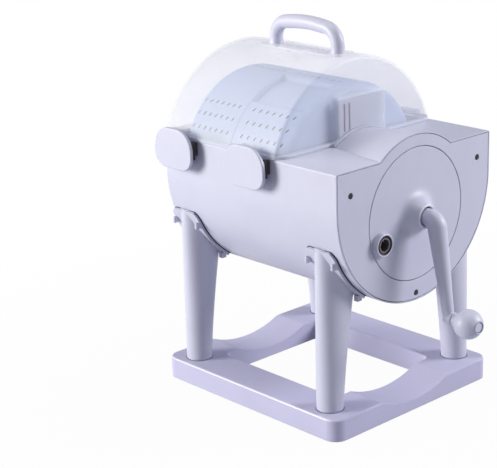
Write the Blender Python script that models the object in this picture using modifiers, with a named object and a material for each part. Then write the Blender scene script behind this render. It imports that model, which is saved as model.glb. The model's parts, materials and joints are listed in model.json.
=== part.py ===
"""Hand cranked drum washing machine, standing on an open base frame.

Lengths are in metres. Before the last shift X runs along the drum's axis, with the crank at +X,
the latches are on the -Y side, and the feet stand on Z = 0.
"""

from math import acos, atan2, cos, hypot, pi, radians, sin, sqrt, tan

import bmesh
import bpy
from mathutils import Matrix, Vector

TAU = 2 * pi

# Clearances
SEAT = 0.0003
RUNNING = 0.0004

# Base frame
BASE_LENGTH = 0.320
BASE_TOP = 0.030
BASE_CORNER = 0.018
BASE_EDGE = 0.003
BASE_WALL = 0.003
SIDE_BAR = 0.056
FRONT_BAR = 0.057
WINDOW_CORNER = 0.010
SCOOP_RADIUS = 0.150
SCOOP_FLOOR = 0.0155
BOSS_HALF = 0.020
POCKETS_PER_BAR = 2

# Feet
FOOT_RADIUS = 0.012
FOOT_HEIGHT = 0.004
FOOT_PROUD = 0.0015

# Legs
LEG_X = 0.123
LEG_INSET = 0.0215
BASE_BEYOND_LEG = 0.028
LEG_RADIUS = 0.017
LEG_WALL = 0.003
LEG_TOP_HALF_X = 0.0195
LEG_TOP_HALF_Y = 0.034
SPIGOT_RADIUS = 0.013
SPIGOT_LENGTH = 0.014
SADDLE_THICKNESS = 0.004
SADDLE_HALF_WIDTH = 0.0245
SADDLE_TOP_ANGLE = 20.5
SADDLE_LOW_ANGLE = 56.0
CLIP_SIZE = 0.008
LEG_SCREW_RADIUS = 0.0022
LEG_SCREW_HEAD = 0.005
LEG_SCREW_HEAD_HEIGHT = 0.003
LEG_SCREW_LENGTH = 0.022

# Tub
DRUM_AXIS_Z = 0.289
TUB_WALL = 0.003
TUB_LEFT = -0.148
TUB_RIGHT = 0.160
DECK_RISE = 0.051
BULKHEAD_GAP = 0.0028
BULKHEAD = 0.0035
HUMP_RADIUS_OUT = 0.1015
HUMP_RADIUS_IN = 0.093

# Gear train
MODULE = 0.0025
RING_TEETH = 44
DRUM_PINION_TEETH = 22
LOW_PINION_TEETH = 11
PRESSURE_ANGLE = radians(20)
ADDENDUM = 0.8
DEDENDUM = 1.15
BACKLASH = 0.00035
GEAR_WIDTH = 0.012
LOW_SOCKET_ANGLE = 200.0
LOW_PIN_RADIUS = 0.0036
BRACKET_RIM = 0.009
GEAR_RIM = 0.003
POST_GAP = 0.005125
BRACKET_POST_RADIUS = 0.005
BRACKET_WINDOWS = 0.045
BRACKET_WINDOW_RADIUS = 0.020

# End panel and gear cover
PANEL = 0.003
COVER_MARGIN = 0.028
COVER_GAP = 0.0007
COVER_LEDGE = 0.005
FLARE_RADIUS = 0.040
FLARE_HEIGHT = 0.0185
FLARE_POWER = 2.6
MOUTH_RADIUS = 0.0150
MOUTH_WALL = 0.0022
LOW_BOSS_RADIUS = 0.0115
LOW_BOSS_FLARE = 0.01495
LOW_BOSS_HEIGHT = 0.008
BOSS_WALL = 0.0024
PANEL_SCREW_INSET = 0.024
PANEL_SCREW_DROP = 0.0305
PANEL_SCREW_RISE = 0.0095
SCREW_RADIUS = 0.0018
SCREW_HEAD = 0.0036
SCREW_HEAD_HEIGHT = 0.0014
HEAD_SINK = 0.0022
SCREW_LENGTH = 0.016
SCREW_BOSS = 0.005

# Crank
SOCKET_RADIUS = 0.0075
SPLINE_DEPTH = 0.0010
SPLINES = 8
SLEEVE_WALL = 0.0022
SLEEVE_PROUD = 0.010
BUSH_WALL = 0.0020
BUSH_REACH = 0.004
PLUG_LENGTH = 0.028
STUB_RADIUS = 0.0105
CRANK_THROW = 0.123
ARM_REACH = 0.0235
ARM_LEAN = 0.0195
ARM_TOP_RADIUS = 0.0120
ARM_LOW_RADIUS = 0.0070
KNOB_RADIUS = 0.0185
KNOB_NECK = 0.009
KNOB_GAP = 0.0006
KNOB_FLAT = 0.115
KNOB_RECESS = 0.0035
SPINDLE_RADIUS = 0.003
SPINDLE_HEAD = 0.006

# Drum
DRUM_END_GAP = 0.008
DRUM_RIGHT = 0.0552
DRUM_SEAM = -0.052
DRUM_RADIUS = 0.114
DRUM_CLEARANCE = 0.0225
DRUM_WALL = 0.0024
PAD_LIFT = 0.007
PAD_COUNT = 6
PAD_FIRST = 38.0
PAD_HALF_ANGLE = 14.0
PAD_SLOPE = 3.0
PAD_END = 0.010
SHOULDER = 0.012
HOLE_ROWS = (-9.0, 0.0, 9.0)
HOLES_PER_ROW = 7
HOLE_PITCH_RIGHT = 0.0120
HOLE_PITCH_LEFT = 0.0107
HOLE_START_RIGHT = 0.0150
HOLE_LENGTH = 0.0052
HOLE_WIDTH = 0.0030
SHAFT_RADIUS = 0.007
SHAFT_FLANGE = 0.020
SHAFT_FLANGE_THICKNESS = 0.0025
IDLE_RADIUS = 0.005
IDLE_CAP_RADIUS = 0.012
IDLE_CAP_HEIGHT = 0.0054
LIP = 0.005

# Drum door
DOOR_ANGLE = 218.0
DOOR_HALF_ANGLE = 34.0
DOOR_LAP_ANGLE = 3.0
DOOR_LAP = 0.003
DOOR_LEFT = -0.040
DOOR_RIGHT = 0.0335
DOOR_THICKNESS = 0.0022
DOOR_TRAVEL = 64.0
DOOR_GRIP = 0.022
RAIL = 0.0022
RAIL_GRIP = 0.0045

# Lifters
LIFTER_ANGLES = (8.0, 128.0)
LIFTER_HEIGHT = 0.024
LIFTER_HALF_WIDTH = 0.013

# Lid
LID_AXIS_RISE = 0.0085
LID_SPREAD = 0.001199
LID_WALL = 0.0025
LID_PAST_BULKHEAD = 0.002
LID_EDGE = 0.006
RIM_HEIGHT = 0.004
RIM_OVERHANG = 0.0018
RIM_REACH = 0.007
RIM_CORNER = 0.020
BULGE_ROOT = 0.018
BULGE_HALF = 0.048
BULGE_REACH = 0.022
BULGE_RISE = 0.064
BULGE_EDGE = 0.009

# Handle
HANDLE_X = -0.025
HANDLE_LENGTH = 0.128
HANDLE_RISE = 0.0425
HANDLE_RADIUS = 0.0088
HANDLE_CORNER = 0.022
HANDLE_ARCH = 0.0025
HANDLE_FOOT_FLARE = 0.0025
PAD_MARGIN = 0.011
PAD_WIDTH = 0.040
PAD_HEIGHT = 0.0012

# Latches
LATCH_X = (-0.1145, 0.018)
LATCH_WIDTH = 0.071
LATCH_RISE = 0.0145
LATCH_DROP = 0.0385
LATCH_PROUD = 0.016
LATCH_THICKNESS = 0.004
LATCH_PIVOT_REACH = 0.0075
LATCH_PIVOT_RISE = 0.0085
BARREL_RADIUS = 0.0033
BARREL_HALF = 0.012
EAR_THICKNESS = 0.004
PIN_RADIUS = 0.0014
KEEPER_DROP = 0.028
KEEPER_HEIGHT = 0.006
KEEPER_REACH = 0.0068
KEEPER_HALF = 0.011
HOOK_HALF = 0.013
HOOK_HEIGHT = 0.006

# Lid hinges
HINGE_X = (-0.110, 0.020)
HINGE_REACH = 0.008
HINGE_RISE = 0.003
HINGE_RADIUS = 0.0042
HINGE_HALF = 0.010
HINGE_EAR = 0.004

# Drain
DRAIN_RISE = 0.0145
DRAIN_BORE = 0.0075
DRAIN_RADIUS = 0.0110
DRAIN_LENGTH = 0.0075
DRAIN_CAP_RADIUS = 0.0130
DRAIN_CAP_THICKNESS = 0.0022

# Sizes that follow from the ones above
RING_RADIUS = MODULE * RING_TEETH / 2
RING_ROOT = RING_RADIUS + DEDENDUM * MODULE
AXIS_DROP = MODULE * (RING_TEETH - DRUM_PINION_TEETH) / 2
CRANK_AXIS_Z = DRUM_AXIS_Z - AXIS_DROP
LOW_CENTRES = MODULE * (RING_TEETH + LOW_PINION_TEETH) / 2
COVER_RADIUS = LOW_CENTRES + LOW_BOSS_FLARE + SEAT
BRACKET_POSTS = RING_ROOT + GEAR_RIM + POST_GAP + BRACKET_POST_RADIUS
BRACKET_RADIUS = BRACKET_POSTS + BRACKET_RIM
TUB_RADIUS = max(DRUM_RADIUS + DRUM_CLEARANCE + TUB_WALL, COVER_RADIUS + AXIS_DROP + COVER_MARGIN)
TUB_BOTTOM = DRUM_AXIS_Z - TUB_RADIUS
LEG_Y = TUB_RADIUS - LEG_INSET
BASE_WIDTH = 2 * (LEG_Y + BASE_BEYOND_LEG)
DECK_Z = DRUM_AXIS_Z + DECK_RISE
DRUM_LEFT = TUB_LEFT + DRUM_END_GAP
BULKHEAD_X = DRUM_RIGHT + BULKHEAD_GAP
LID_AXIS_Z = DRUM_AXIS_Z + LID_AXIS_RISE
LID_RADIUS = hypot(TUB_RADIUS + LID_SPREAD, DECK_Z - LID_AXIS_Z)
LID_TOP = LID_AXIS_Z + LID_RADIUS
LID_LEFT = TUB_LEFT
LID_RIGHT = BULKHEAD_X + LID_PAST_BULKHEAD
RIM_RIGHT = LID_RIGHT + RIM_REACH
HUMP_START_X = RIM_RIGHT
BULGE_RIGHT = LID_RIGHT + BULGE_REACH
BULGE_TOP = DECK_Z + BULGE_RISE
HANDLE_TOP = LID_TOP + HANDLE_RISE
PAD_LENGTH = HANDLE_LENGTH + 2 * PAD_MARGIN
PANEL_SCREW_Y = TUB_RADIUS - PANEL_SCREW_INSET
PANEL_SCREW_Z = DECK_Z - PANEL_SCREW_DROP
LATCH_TOP = DECK_Z + LATCH_RISE
LATCH_BOTTOM = DECK_Z - LATCH_DROP
LATCH_FACE_Y = -TUB_RADIUS - LATCH_PROUD
LATCH_PIVOT_Y = -TUB_RADIUS - LATCH_PIVOT_REACH
LATCH_PIVOT_Z = DECK_Z + LATCH_PIVOT_RISE
KEEPER_BOTTOM = DECK_Z - KEEPER_DROP
HINGE_Y = TUB_RADIUS + HINGE_REACH
HINGE_Z = DECK_Z + HINGE_RISE
DRAIN_Z = TUB_BOTTOM + DRAIN_RISE
LOW_Y = LOW_CENTRES * cos(radians(LOW_SOCKET_ANGLE))
LOW_Z = CRANK_AXIS_Z + LOW_CENTRES * sin(radians(LOW_SOCKET_ANGLE))
TUB_INNER = TUB_RADIUS - TUB_WALL
BULKHEAD_RIGHT = BULKHEAD_X + BULKHEAD
PANEL_LEFT = TUB_RIGHT - PANEL
COVER_BACK = PANEL_LEFT - SEAT
BEARING_LENGTH = 0.0105
DRUM_PINION_X = BULKHEAD_RIGHT + BEARING_LENGTH - BULKHEAD + 0.001
RING_WEB_X = DRUM_PINION_X + GEAR_WIDTH + 0.001
OUTER_GEAR_X = RING_WEB_X + 0.004
OUTER_GEAR_END = OUTER_GEAR_X + GEAR_WIDTH
BRACKET_X = OUTER_GEAR_END + 0.002
BRACKET = 0.003
SLEEVE_RADIUS = SOCKET_RADIUS + SLEEVE_WALL
SLEEVE_END = TUB_RIGHT + SLEEVE_PROUD
ARM_TOP_X = SLEEVE_END + ARM_REACH
ARM_LOW_X = ARM_TOP_X + ARM_LEAN
BUSH_RADIUS = SLEEVE_RADIUS + RUNNING + BUSH_WALL
CRANK_END_Z = CRANK_AXIS_Z - CRANK_THROW
KNOB_LEFT = ARM_LOW_X + 0.009
KNOB_CENTRE = KNOB_LEFT + 0.003 + KNOB_RADIUS
KNOB_FACE = KNOB_CENTRE + KNOB_RADIUS * cos(pi * KNOB_FLAT)
WIDEST_FACET = (360 / PAD_COUNT - 2 * (PAD_HALF_ANGLE + PAD_SLOPE)) / 2
INSIDE_DRUM = (DRUM_RADIUS - DRUM_WALL) * cos(radians(WIDEST_FACET / 2))

X_LOW = -BASE_LENGTH / 2
X_HIGH = KNOB_FACE
Y_LOW = LATCH_FACE_Y
Y_HIGH = HINGE_Y + HINGE_RADIUS

COLOURS = {
    "body": ((0.58, 0.58, 0.73, 1.0), 0.42, 0.0),
    "base": ((0.54, 0.54, 0.70, 1.0), 0.45, 0.0),
    "clear": ((0.80, 0.81, 0.90, 0.45), 0.25, 0.0),
    "drum": ((0.62, 0.68, 0.86, 1.0), 0.35, 0.0),
    "gear": ((0.80, 0.80, 0.78, 1.0), 0.40, 0.0),
    "rubber": ((0.05, 0.05, 0.06, 1.0), 0.80, 0.0),
    "steel": ((0.60, 0.60, 0.62, 1.0), 0.30, 1.0),
}


def new_collection(name):
    collection = bpy.data.collections.new(name)
    bpy.context.scene.collection.children.link(collection)
    return collection


def clear_scene():
    for obj in list(bpy.data.objects):
        bpy.data.objects.remove(obj, do_unlink=True)


clear_scene()
PARTS = new_collection("washing_machine")
CUTTERS = new_collection("cutters")
MATERIALS = {}
MOULDINGS = ("tub_shell", "drive_end_panel", "leg", "lid_shell")


def material(name):
    """The named plastic, rubber or steel, made once."""
    if name not in MATERIALS:
        colour, roughness, metallic = COLOURS[name]
        made = bpy.data.materials.new(name)
        made.use_nodes = True
        shader = made.node_tree.nodes["Principled BSDF"]
        shader.inputs["Base Color"].default_value = colour
        shader.inputs["Roughness"].default_value = roughness
        shader.inputs["Metallic"].default_value = metallic
        shader.inputs["Alpha"].default_value = colour[3]
        made.diffuse_color = colour
        MATERIALS[name] = made
    return MATERIALS[name]


def empty(name, location, parent=None):
    made = bpy.data.objects.new(name, None)
    made.location = location
    made.empty_display_size = 0.02
    made.parent = parent
    PARTS.objects.link(made)
    return made


MACHINE = empty("machine", (-(X_LOW + X_HIGH) / 2, -(Y_LOW + Y_HIGH) / 2, 0))
DRUM_AXIS = empty("drum_axis", (0, 0, DRUM_AXIS_Z), MACHINE)
CRANK_AXIS = empty("crank_axis", (0, 0, CRANK_AXIS_Z), MACHINE)
LOW_AXIS = empty("low_pinion_axis", (0, LOW_Y, LOW_Z), MACHINE)
KNOB_AXIS = empty("knob_axis", (0, 0, CRANK_END_Z), MACHINE)
LID_AXIS = empty("lid_hinge_axis", (0, HINGE_Y, HINGE_Z), MACHINE)
LATCH_AXIS = empty("latch_axis", (0, LATCH_PIVOT_Y, LATCH_PIVOT_Z), MACHINE)


def shape(name, bm):
    """A helper solid from a bmesh, hidden until part() keeps it."""
    bmesh.ops.recalc_face_normals(bm, faces=bm.faces)
    mesh = bpy.data.meshes.new(name)
    bm.to_mesh(mesh)
    bm.free()
    obj = bpy.data.objects.new(name, mesh)
    obj.parent = MACHINE
    obj.hide_render = True
    obj.display_type = "WIRE"
    CUTTERS.objects.link(obj)
    return obj


def part(obj, name, finish, axis=None, sharp=32):
    """Keep a shape as one piece of the machine, carried by an empty on its joint's axis."""
    CUTTERS.objects.unlink(obj)
    PARTS.objects.link(obj)
    obj.name = name
    obj.hide_render = False
    obj.display_type = "TEXTURED"
    obj.data.materials.clear()
    obj.data.materials.append(material(finish))
    obj.data.shade_smooth()
    obj.data.set_sharp_from_angle(angle=radians(sharp))
    if axis is not None:
        obj.parent = axis
        obj.location = -axis.location
    return obj


def combine(obj, other, operation):
    """The large mouldings are cut many times over, which only the manifold solver gets through."""
    modifier = obj.modifiers.new(other.name, "BOOLEAN")
    modifier.operation = operation
    modifier.object = other
    modifier.solver = "MANIFOLD" if obj.name.startswith(MOULDINGS) else "EXACT"


def cut(obj, *tools):
    for tool in tools:
        combine(obj, tool, "DIFFERENCE")
    return obj


def join(obj, *others):
    for other in others:
        combine(obj, other, "UNION")
    return obj


def box(name, low, high, edge=0.0, segments=2):
    """A block between two corners, its edges rounded by edge."""
    bm = bmesh.new()
    bmesh.ops.create_cube(bm, size=1.0)
    size = [b - a for a, b in zip(low, high)]
    middle = [(a + b) / 2 for a, b in zip(low, high)]
    bmesh.ops.scale(bm, vec=size, verts=bm.verts)
    if edge:
        bmesh.ops.bevel(bm, geom=bm.edges[:], offset=edge, segments=segments, affect="EDGES", profile=0.5)
    bmesh.ops.translate(bm, vec=middle, verts=bm.verts)
    return shape(name, bm)


def prism(name, outline, start, end, across="X", edge=0.0, segments=2):
    """An outline in the plane across an axis, drawn out from start to end along that axis."""
    place = {
        "X": lambda a, b, along: (along, a, b),
        "Y": lambda a, b, along: (a, along, b),
        "Z": lambda a, b, along: (a, b, along),
    }[across]
    bm = bmesh.new()
    face = bm.faces.new([bm.verts.new(place(a, b, start)) for a, b in outline])
    drawn = bmesh.ops.extrude_face_region(bm, geom=[face])["geom"]
    moved = [item for item in drawn if isinstance(item, bmesh.types.BMVert)]
    bmesh.ops.translate(bm, vec=Vector(place(0, 0, end - start)), verts=moved)
    if edge:
        rim = [e for e in bm.edges if all(v in moved for v in e.verts)]
        bmesh.ops.bevel(bm, geom=rim, offset=edge, segments=segments, affect="EDGES", profile=0.5)
    return shape(name, bm)


def turned(name, profile, y=0.0, z=0.0, steps=24, ring=False):
    """Points (x, radius) turned about the X axis through y and z; a ring's profile closes on itself."""
    bm = bmesh.new()
    verts = [bm.verts.new((x, 0, radius)) for x, radius in profile]
    pairs = list(zip(verts, verts[1:]))
    if ring:
        pairs.append((verts[-1], verts[0]))
    edges = [bm.edges.new(pair) for pair in pairs]
    bmesh.ops.spin(bm, geom=verts + edges, axis=(1, 0, 0), angle=TAU, steps=steps, use_merge=True)
    bmesh.ops.remove_doubles(bm, verts=bm.verts, dist=1e-6)
    bmesh.ops.translate(bm, vec=(0, y, z), verts=bm.verts)
    return shape(name, bm)


def rod(name, start, end, radius, y=0.0, z=0.0, steps=16, end_radius=None):
    """A round bar or cone along X."""
    last = radius if end_radius is None else end_radius
    return turned(name, [(start, 0), (start, radius), (end, last), (end, 0)], y, z, steps)


def tube(name, start, end, inner, outer, y=0.0, z=0.0, steps=14):
    """A bush or collar along X."""
    profile = [(start, inner), (end, inner), (end, outer), (start, outer)]
    return turned(name, profile, y, z, steps, ring=True)


def peg(name, low, high, radius, x, y, steps=16):
    """A round bar standing along Z."""
    bm = bmesh.new()
    bmesh.ops.create_cone(
        bm, cap_ends=True, segments=steps, radius1=radius, radius2=radius, depth=high - low
    )
    bmesh.ops.translate(bm, vec=(x, y, (low + high) / 2), verts=bm.verts)
    return shape(name, bm)


def loft(name, rings):
    """A solid through a list of rings with the same number of points."""
    bm = bmesh.new()
    rows = [[bm.verts.new(point) for point in ring] for ring in rings]
    for lower, upper in zip(rows, rows[1:]):
        for i in range(len(lower)):
            j = (i + 1) % len(lower)
            bm.faces.new((lower[i], lower[j], upper[j], upper[i]))
    bm.faces.new(rows[0])
    bm.faces.new(rows[-1])
    return shape(name, bm)


def arc(centre, radius, first, last, steps):
    """Points on an arc, angles in degrees, both ends included."""
    angles = [radians(first + (last - first) * i / steps) for i in range(steps + 1)]
    return [(centre[0] + radius * cos(a), centre[1] + radius * sin(a)) for a in angles]


def rounded_rectangle(half_x, half_y, corner, steps=5, centre=(0.0, 0.0)):
    points = []
    for quarter, (sx, sy) in enumerate(((1, 1), (-1, 1), (-1, -1), (1, -1))):
        middle = (centre[0] + sx * (half_x - corner), centre[1] + sy * (half_y - corner))
        points += arc(middle, corner, 90 * quarter, 90 * quarter + 90, steps)
    return points


def gear_outline(teeth, outer, inner, thinning, turn, flank_points=3):
    """Involute teeth: each tooth has points from inner to outer radius on both flanks.

    thinning narrows the tooth at the pitch circle, and turn is the angle of the first tooth's middle.
    """
    pitch = MODULE * teeth / 2
    base = pitch * cos(PRESSURE_ANGLE)
    at_pitch = tan(PRESSURE_ANGLE) - PRESSURE_ANGLE

    def half_angle(radius):
        pressure = acos(min(1.0, base / radius))
        spread = at_pitch - (tan(pressure) - pressure)
        return pi / (2 * teeth) - thinning / (2 * pitch) + spread

    radii = [inner + (outer - inner) * i / (flank_points - 1) for i in range(flank_points)]
    points = []
    for tooth in range(teeth):
        middle = turn + TAU * tooth / teeth
        for radius in radii:
            points.append((radius, middle - half_angle(radius)))
        for radius in reversed(radii):
            points.append((radius, middle + half_angle(radius)))
    return [(radius * cos(angle), radius * sin(angle)) for radius, angle in points]


def moved_outline(outline, y, z):
    return [(y + a, z + b) for a, b in outline]


def spline_outline(radius, widen):
    """A round bore with inward keys; widen grows the outline for a bore, and 0 gives the plug."""
    points = []
    key = radians(360 / SPLINES)
    shift = widen / radius
    for i in range(SPLINES):
        middle = key * i
        for angle, depth in (
            (middle - key * 0.28 - shift, 0),
            (middle + key * 0.28 + shift, 0),
            (middle + key * 0.36 + shift, SPLINE_DEPTH),
            (middle + key * 0.64 - shift, SPLINE_DEPTH),
        ):
            points.append(((radius + widen - depth) * cos(angle), (radius + widen - depth) * sin(angle)))
    return points


def body_outline(radius, deck, steps=24):
    """The tub's U shape: straight walls above the drum's axis and a round belly."""
    points = [(radius, deck)] + arc((0, DRUM_AXIS_Z), radius, 0, -180, steps) + [(-radius, deck)]
    return points


def panel_outline(shrink, steps=18):
    """The tub's end with the hump's arc on top, made smaller all round by shrink."""
    hump = HUMP_RADIUS_OUT - shrink
    deck = DECK_Z - shrink
    half = sqrt(hump**2 - (deck - CRANK_AXIS_Z) ** 2)
    side = 180 / pi * atan2(deck - CRANK_AXIS_Z, half)
    over = arc((0, CRANK_AXIS_Z), hump, 180 - side, side, 8)
    return body_outline(TUB_RADIUS - shrink, deck, steps) + over


def hump_cone(name, grow, start, end, steps=40):
    """The deck's hump over the gear case, a cone about the crank's axis, grown by grow."""
    slope = (HUMP_RADIUS_OUT - HUMP_RADIUS_IN) / (TUB_RIGHT - HUMP_START_X)

    def radius(x):
        return HUMP_RADIUS_IN + slope * (x - HUMP_START_X) + grow

    return rod(name, start, end, radius(start), 0, CRANK_AXIS_Z, steps, radius(end))


CORNERS = {
    "front_left": (-1, -1),
    "front_right": (1, -1),
    "rear_left": (-1, 1),
    "rear_right": (1, 1),
}


def base_frame():
    half_x, half_y = BASE_LENGTH / 2, BASE_WIDTH / 2
    outline = rounded_rectangle(half_x, half_y, BASE_CORNER, 4)
    frame = prism("base_frame", outline, FOOT_PROUD, BASE_TOP, "Z", BASE_EDGE)
    window = rounded_rectangle(half_x - SIDE_BAR, half_y - FRONT_BAR, WINDOW_CORNER, 2)
    cut(frame, prism("base_window", window, -0.01, BASE_TOP + 0.01, "Z"))
    scoop_z = SCOOP_FLOOR + SCOOP_RADIUS
    cut(frame, rod("base_scoop", -half_x - 0.01, half_x + 0.01, SCOOP_RADIUS, 0, scoop_z, 48))
    pockets = base_pockets(half_x, half_y)
    cut(frame, *pockets)
    for sx, sy in CORNERS.values():
        x, y = sx * LEG_X, sy * LEG_Y
        cut(frame, peg("foot_recess", 0, FOOT_HEIGHT + SEAT, FOOT_RADIUS + SEAT, x, y, 12))
        head_top = FOOT_HEIGHT + 2 * SEAT + LEG_SCREW_HEAD_HEIGHT
        cut(frame, peg("head_recess", 0, head_top + SEAT, LEG_SCREW_HEAD + SEAT, x, y, 8))
        cut(frame, peg("screw_way", 0, BASE_TOP, LEG_SCREW_RADIUS + RUNNING, x, y, 6))
        floor = BASE_TOP - SPIGOT_LENGTH
        cut(frame, peg("leg_socket", floor, BASE_TOP + 0.01, SPIGOT_RADIUS + SEAT, x, y, 12))
    return part(frame, "base_frame", "base")


def base_pockets(half_x, half_y):
    """The hollows under the moulded bars, two rows a bar, with a rib between neighbours."""
    tools = []
    long_run = 2 * (LEG_X - BOSS_HALF)
    cross_run = 2 * (LEG_Y - BOSS_HALF)
    for sign in (-1, 1):
        tools += pocket_rows(
            "front_pocket", long_run, sign * (half_y - FRONT_BAR / 2), FRONT_BAR, BASE_TOP - BASE_WALL, "X"
        )
        tools += pocket_rows(
            "side_pocket", cross_run, sign * (half_x - SIDE_BAR / 2), SIDE_BAR, SCOOP_FLOOR - BASE_WALL, "Y"
        )
    return tools


def pocket_rows(name, run, middle, width, top, along):
    tools = []
    step = run / POCKETS_PER_BAR
    row = (width - 3 * BASE_WALL) / 2
    for i in range(POCKETS_PER_BAR):
        start = -run / 2 + i * step + BASE_WALL / 2
        end = start + step - BASE_WALL
        for side in (-1, 1):
            low = middle + side * (BASE_WALL / 2 + row / 2) - row / 2
            high = low + row
            if along == "X":
                tools.append(box(name, (start, low, 0), (end, high, top)))
            else:
                tools.append(box(name, (low, start, 0), (high, end, top)))
    return tools


def feet_and_screws():
    for name, (sx, sy) in CORNERS.items():
        x, y = sx * LEG_X, sy * LEG_Y
        foot = peg("foot", 0, FOOT_HEIGHT, FOOT_RADIUS, x, y, 12)
        part(foot, "foot_" + name, "rubber")
        head_low = FOOT_HEIGHT + SEAT
        head_top = head_low + LEG_SCREW_HEAD_HEIGHT
        screw = peg("leg_screw", head_low, head_top, LEG_SCREW_HEAD, x, y, 8)
        join(screw, peg("leg_shank", head_low + 0.001, head_top + LEG_SCREW_LENGTH, LEG_SCREW_RADIUS, x, y, 6))
        part(screw, "leg_screw_" + name, "steel")


def leg_rings(sx, sy, wall, low, high, steps=12, levels=3):
    """Oval sections of a leg: the outer face stays upright while the leg widens inwards."""
    rings = []
    outer_y = LEG_Y + LEG_RADIUS
    top_z = DRUM_AXIS_Z - TUB_RADIUS * sin(radians(SADDLE_TOP_ANGLE))
    for level in range(levels + 1):
        z = low + (high - low) * level / levels
        share = min(1.0, max(0.0, (z - BASE_TOP) / (top_z - BASE_TOP)))
        half_x = LEG_RADIUS + (LEG_TOP_HALF_X - LEG_RADIUS) * share
        half_y = LEG_RADIUS + (LEG_TOP_HALF_Y - LEG_RADIUS) * share**1.35
        centre_y = sy * (outer_y - half_y)
        ring = []
        for i in range(steps):
            angle = TAU * i / steps
            x = sx * LEG_X + (half_x - wall) * cos(angle)
            y = centre_y + (half_y - wall) * sin(angle)
            ring.append((x, y, z))
        rings.append(ring)
    return rings


def saddle(sx, sy):
    """The curved plate between a leg and the tub, with its clip feet."""
    start = sx * LEG_X - SADDLE_HALF_WIDTH
    end = sx * LEG_X + SADDLE_HALF_WIDTH
    seat = TUB_RADIUS + SEAT
    outer = seat + SADDLE_THICKNESS
    low, high = -SADDLE_LOW_ANGLE, -SADDLE_TOP_ANGLE
    centre = (0, DRUM_AXIS_Z)
    outline = arc(centre, outer, low, high, 5) + arc(centre, seat - 0.001, high, low, 4)
    outline = [(sy * y, z) for y, z in outline]
    plate = prism("saddle", outline, start, end)
    for share in (0.16, 0.92):
        angle = radians(low + (high - low) * (1 - share))
        y = sy * (outer + CLIP_SIZE * 0.30) * cos(angle)
        z = DRUM_AXIS_Z + (outer + CLIP_SIZE * 0.30) * sin(angle)
        half = CLIP_SIZE / 2
        for x in (start + half, end - half):
            low_corner = (x - half + 0.0005, y - half, z - half)
            high_corner = (x + half - 0.0005, y + half, z + half)
            join(plate, box("clip_foot", low_corner, high_corner))
    return plate


def legs():
    reach = DRUM_AXIS_Z - TUB_RADIUS * sin(radians(SADDLE_TOP_ANGLE - 4))
    for name, (sx, sy) in CORNERS.items():
        x, y = sx * LEG_X, sy * LEG_Y
        leg = loft("leg", leg_rings(sx, sy, 0, BASE_TOP + SEAT, reach))
        spigot_low = BASE_TOP - SPIGOT_LENGTH + SEAT
        join(leg, peg("spigot", spigot_low, BASE_TOP + 0.004, SPIGOT_RADIUS, x, y, 12))
        join(leg, saddle(sx, sy))
        cut(leg, loft("leg_core", leg_rings(sx, sy, LEG_WALL, BASE_TOP + 0.020, reach + 0.02, 8, 2)))
        steps = 48
        seat = (TUB_RADIUS + SEAT) / cos(pi / steps)
        cut(leg, rod("tub_seat", -0.2, 0.2, seat, 0, DRUM_AXIS_Z, steps))
        above = DRUM_AXIS_Z - (TUB_RADIUS + SEAT) * sin(radians(SADDLE_TOP_ANGLE)) + 0.001
        cut(leg, box("leg_trim", (x - 0.06, y - 0.09, above), (x + 0.06, y + 0.09, above + 0.08)))
        cut(leg, peg("leg_pilot", 0, BASE_TOP + 0.008, LEG_SCREW_RADIUS + SEAT, x, y, 6))
        part(leg, "leg_" + name, "body")


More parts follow.
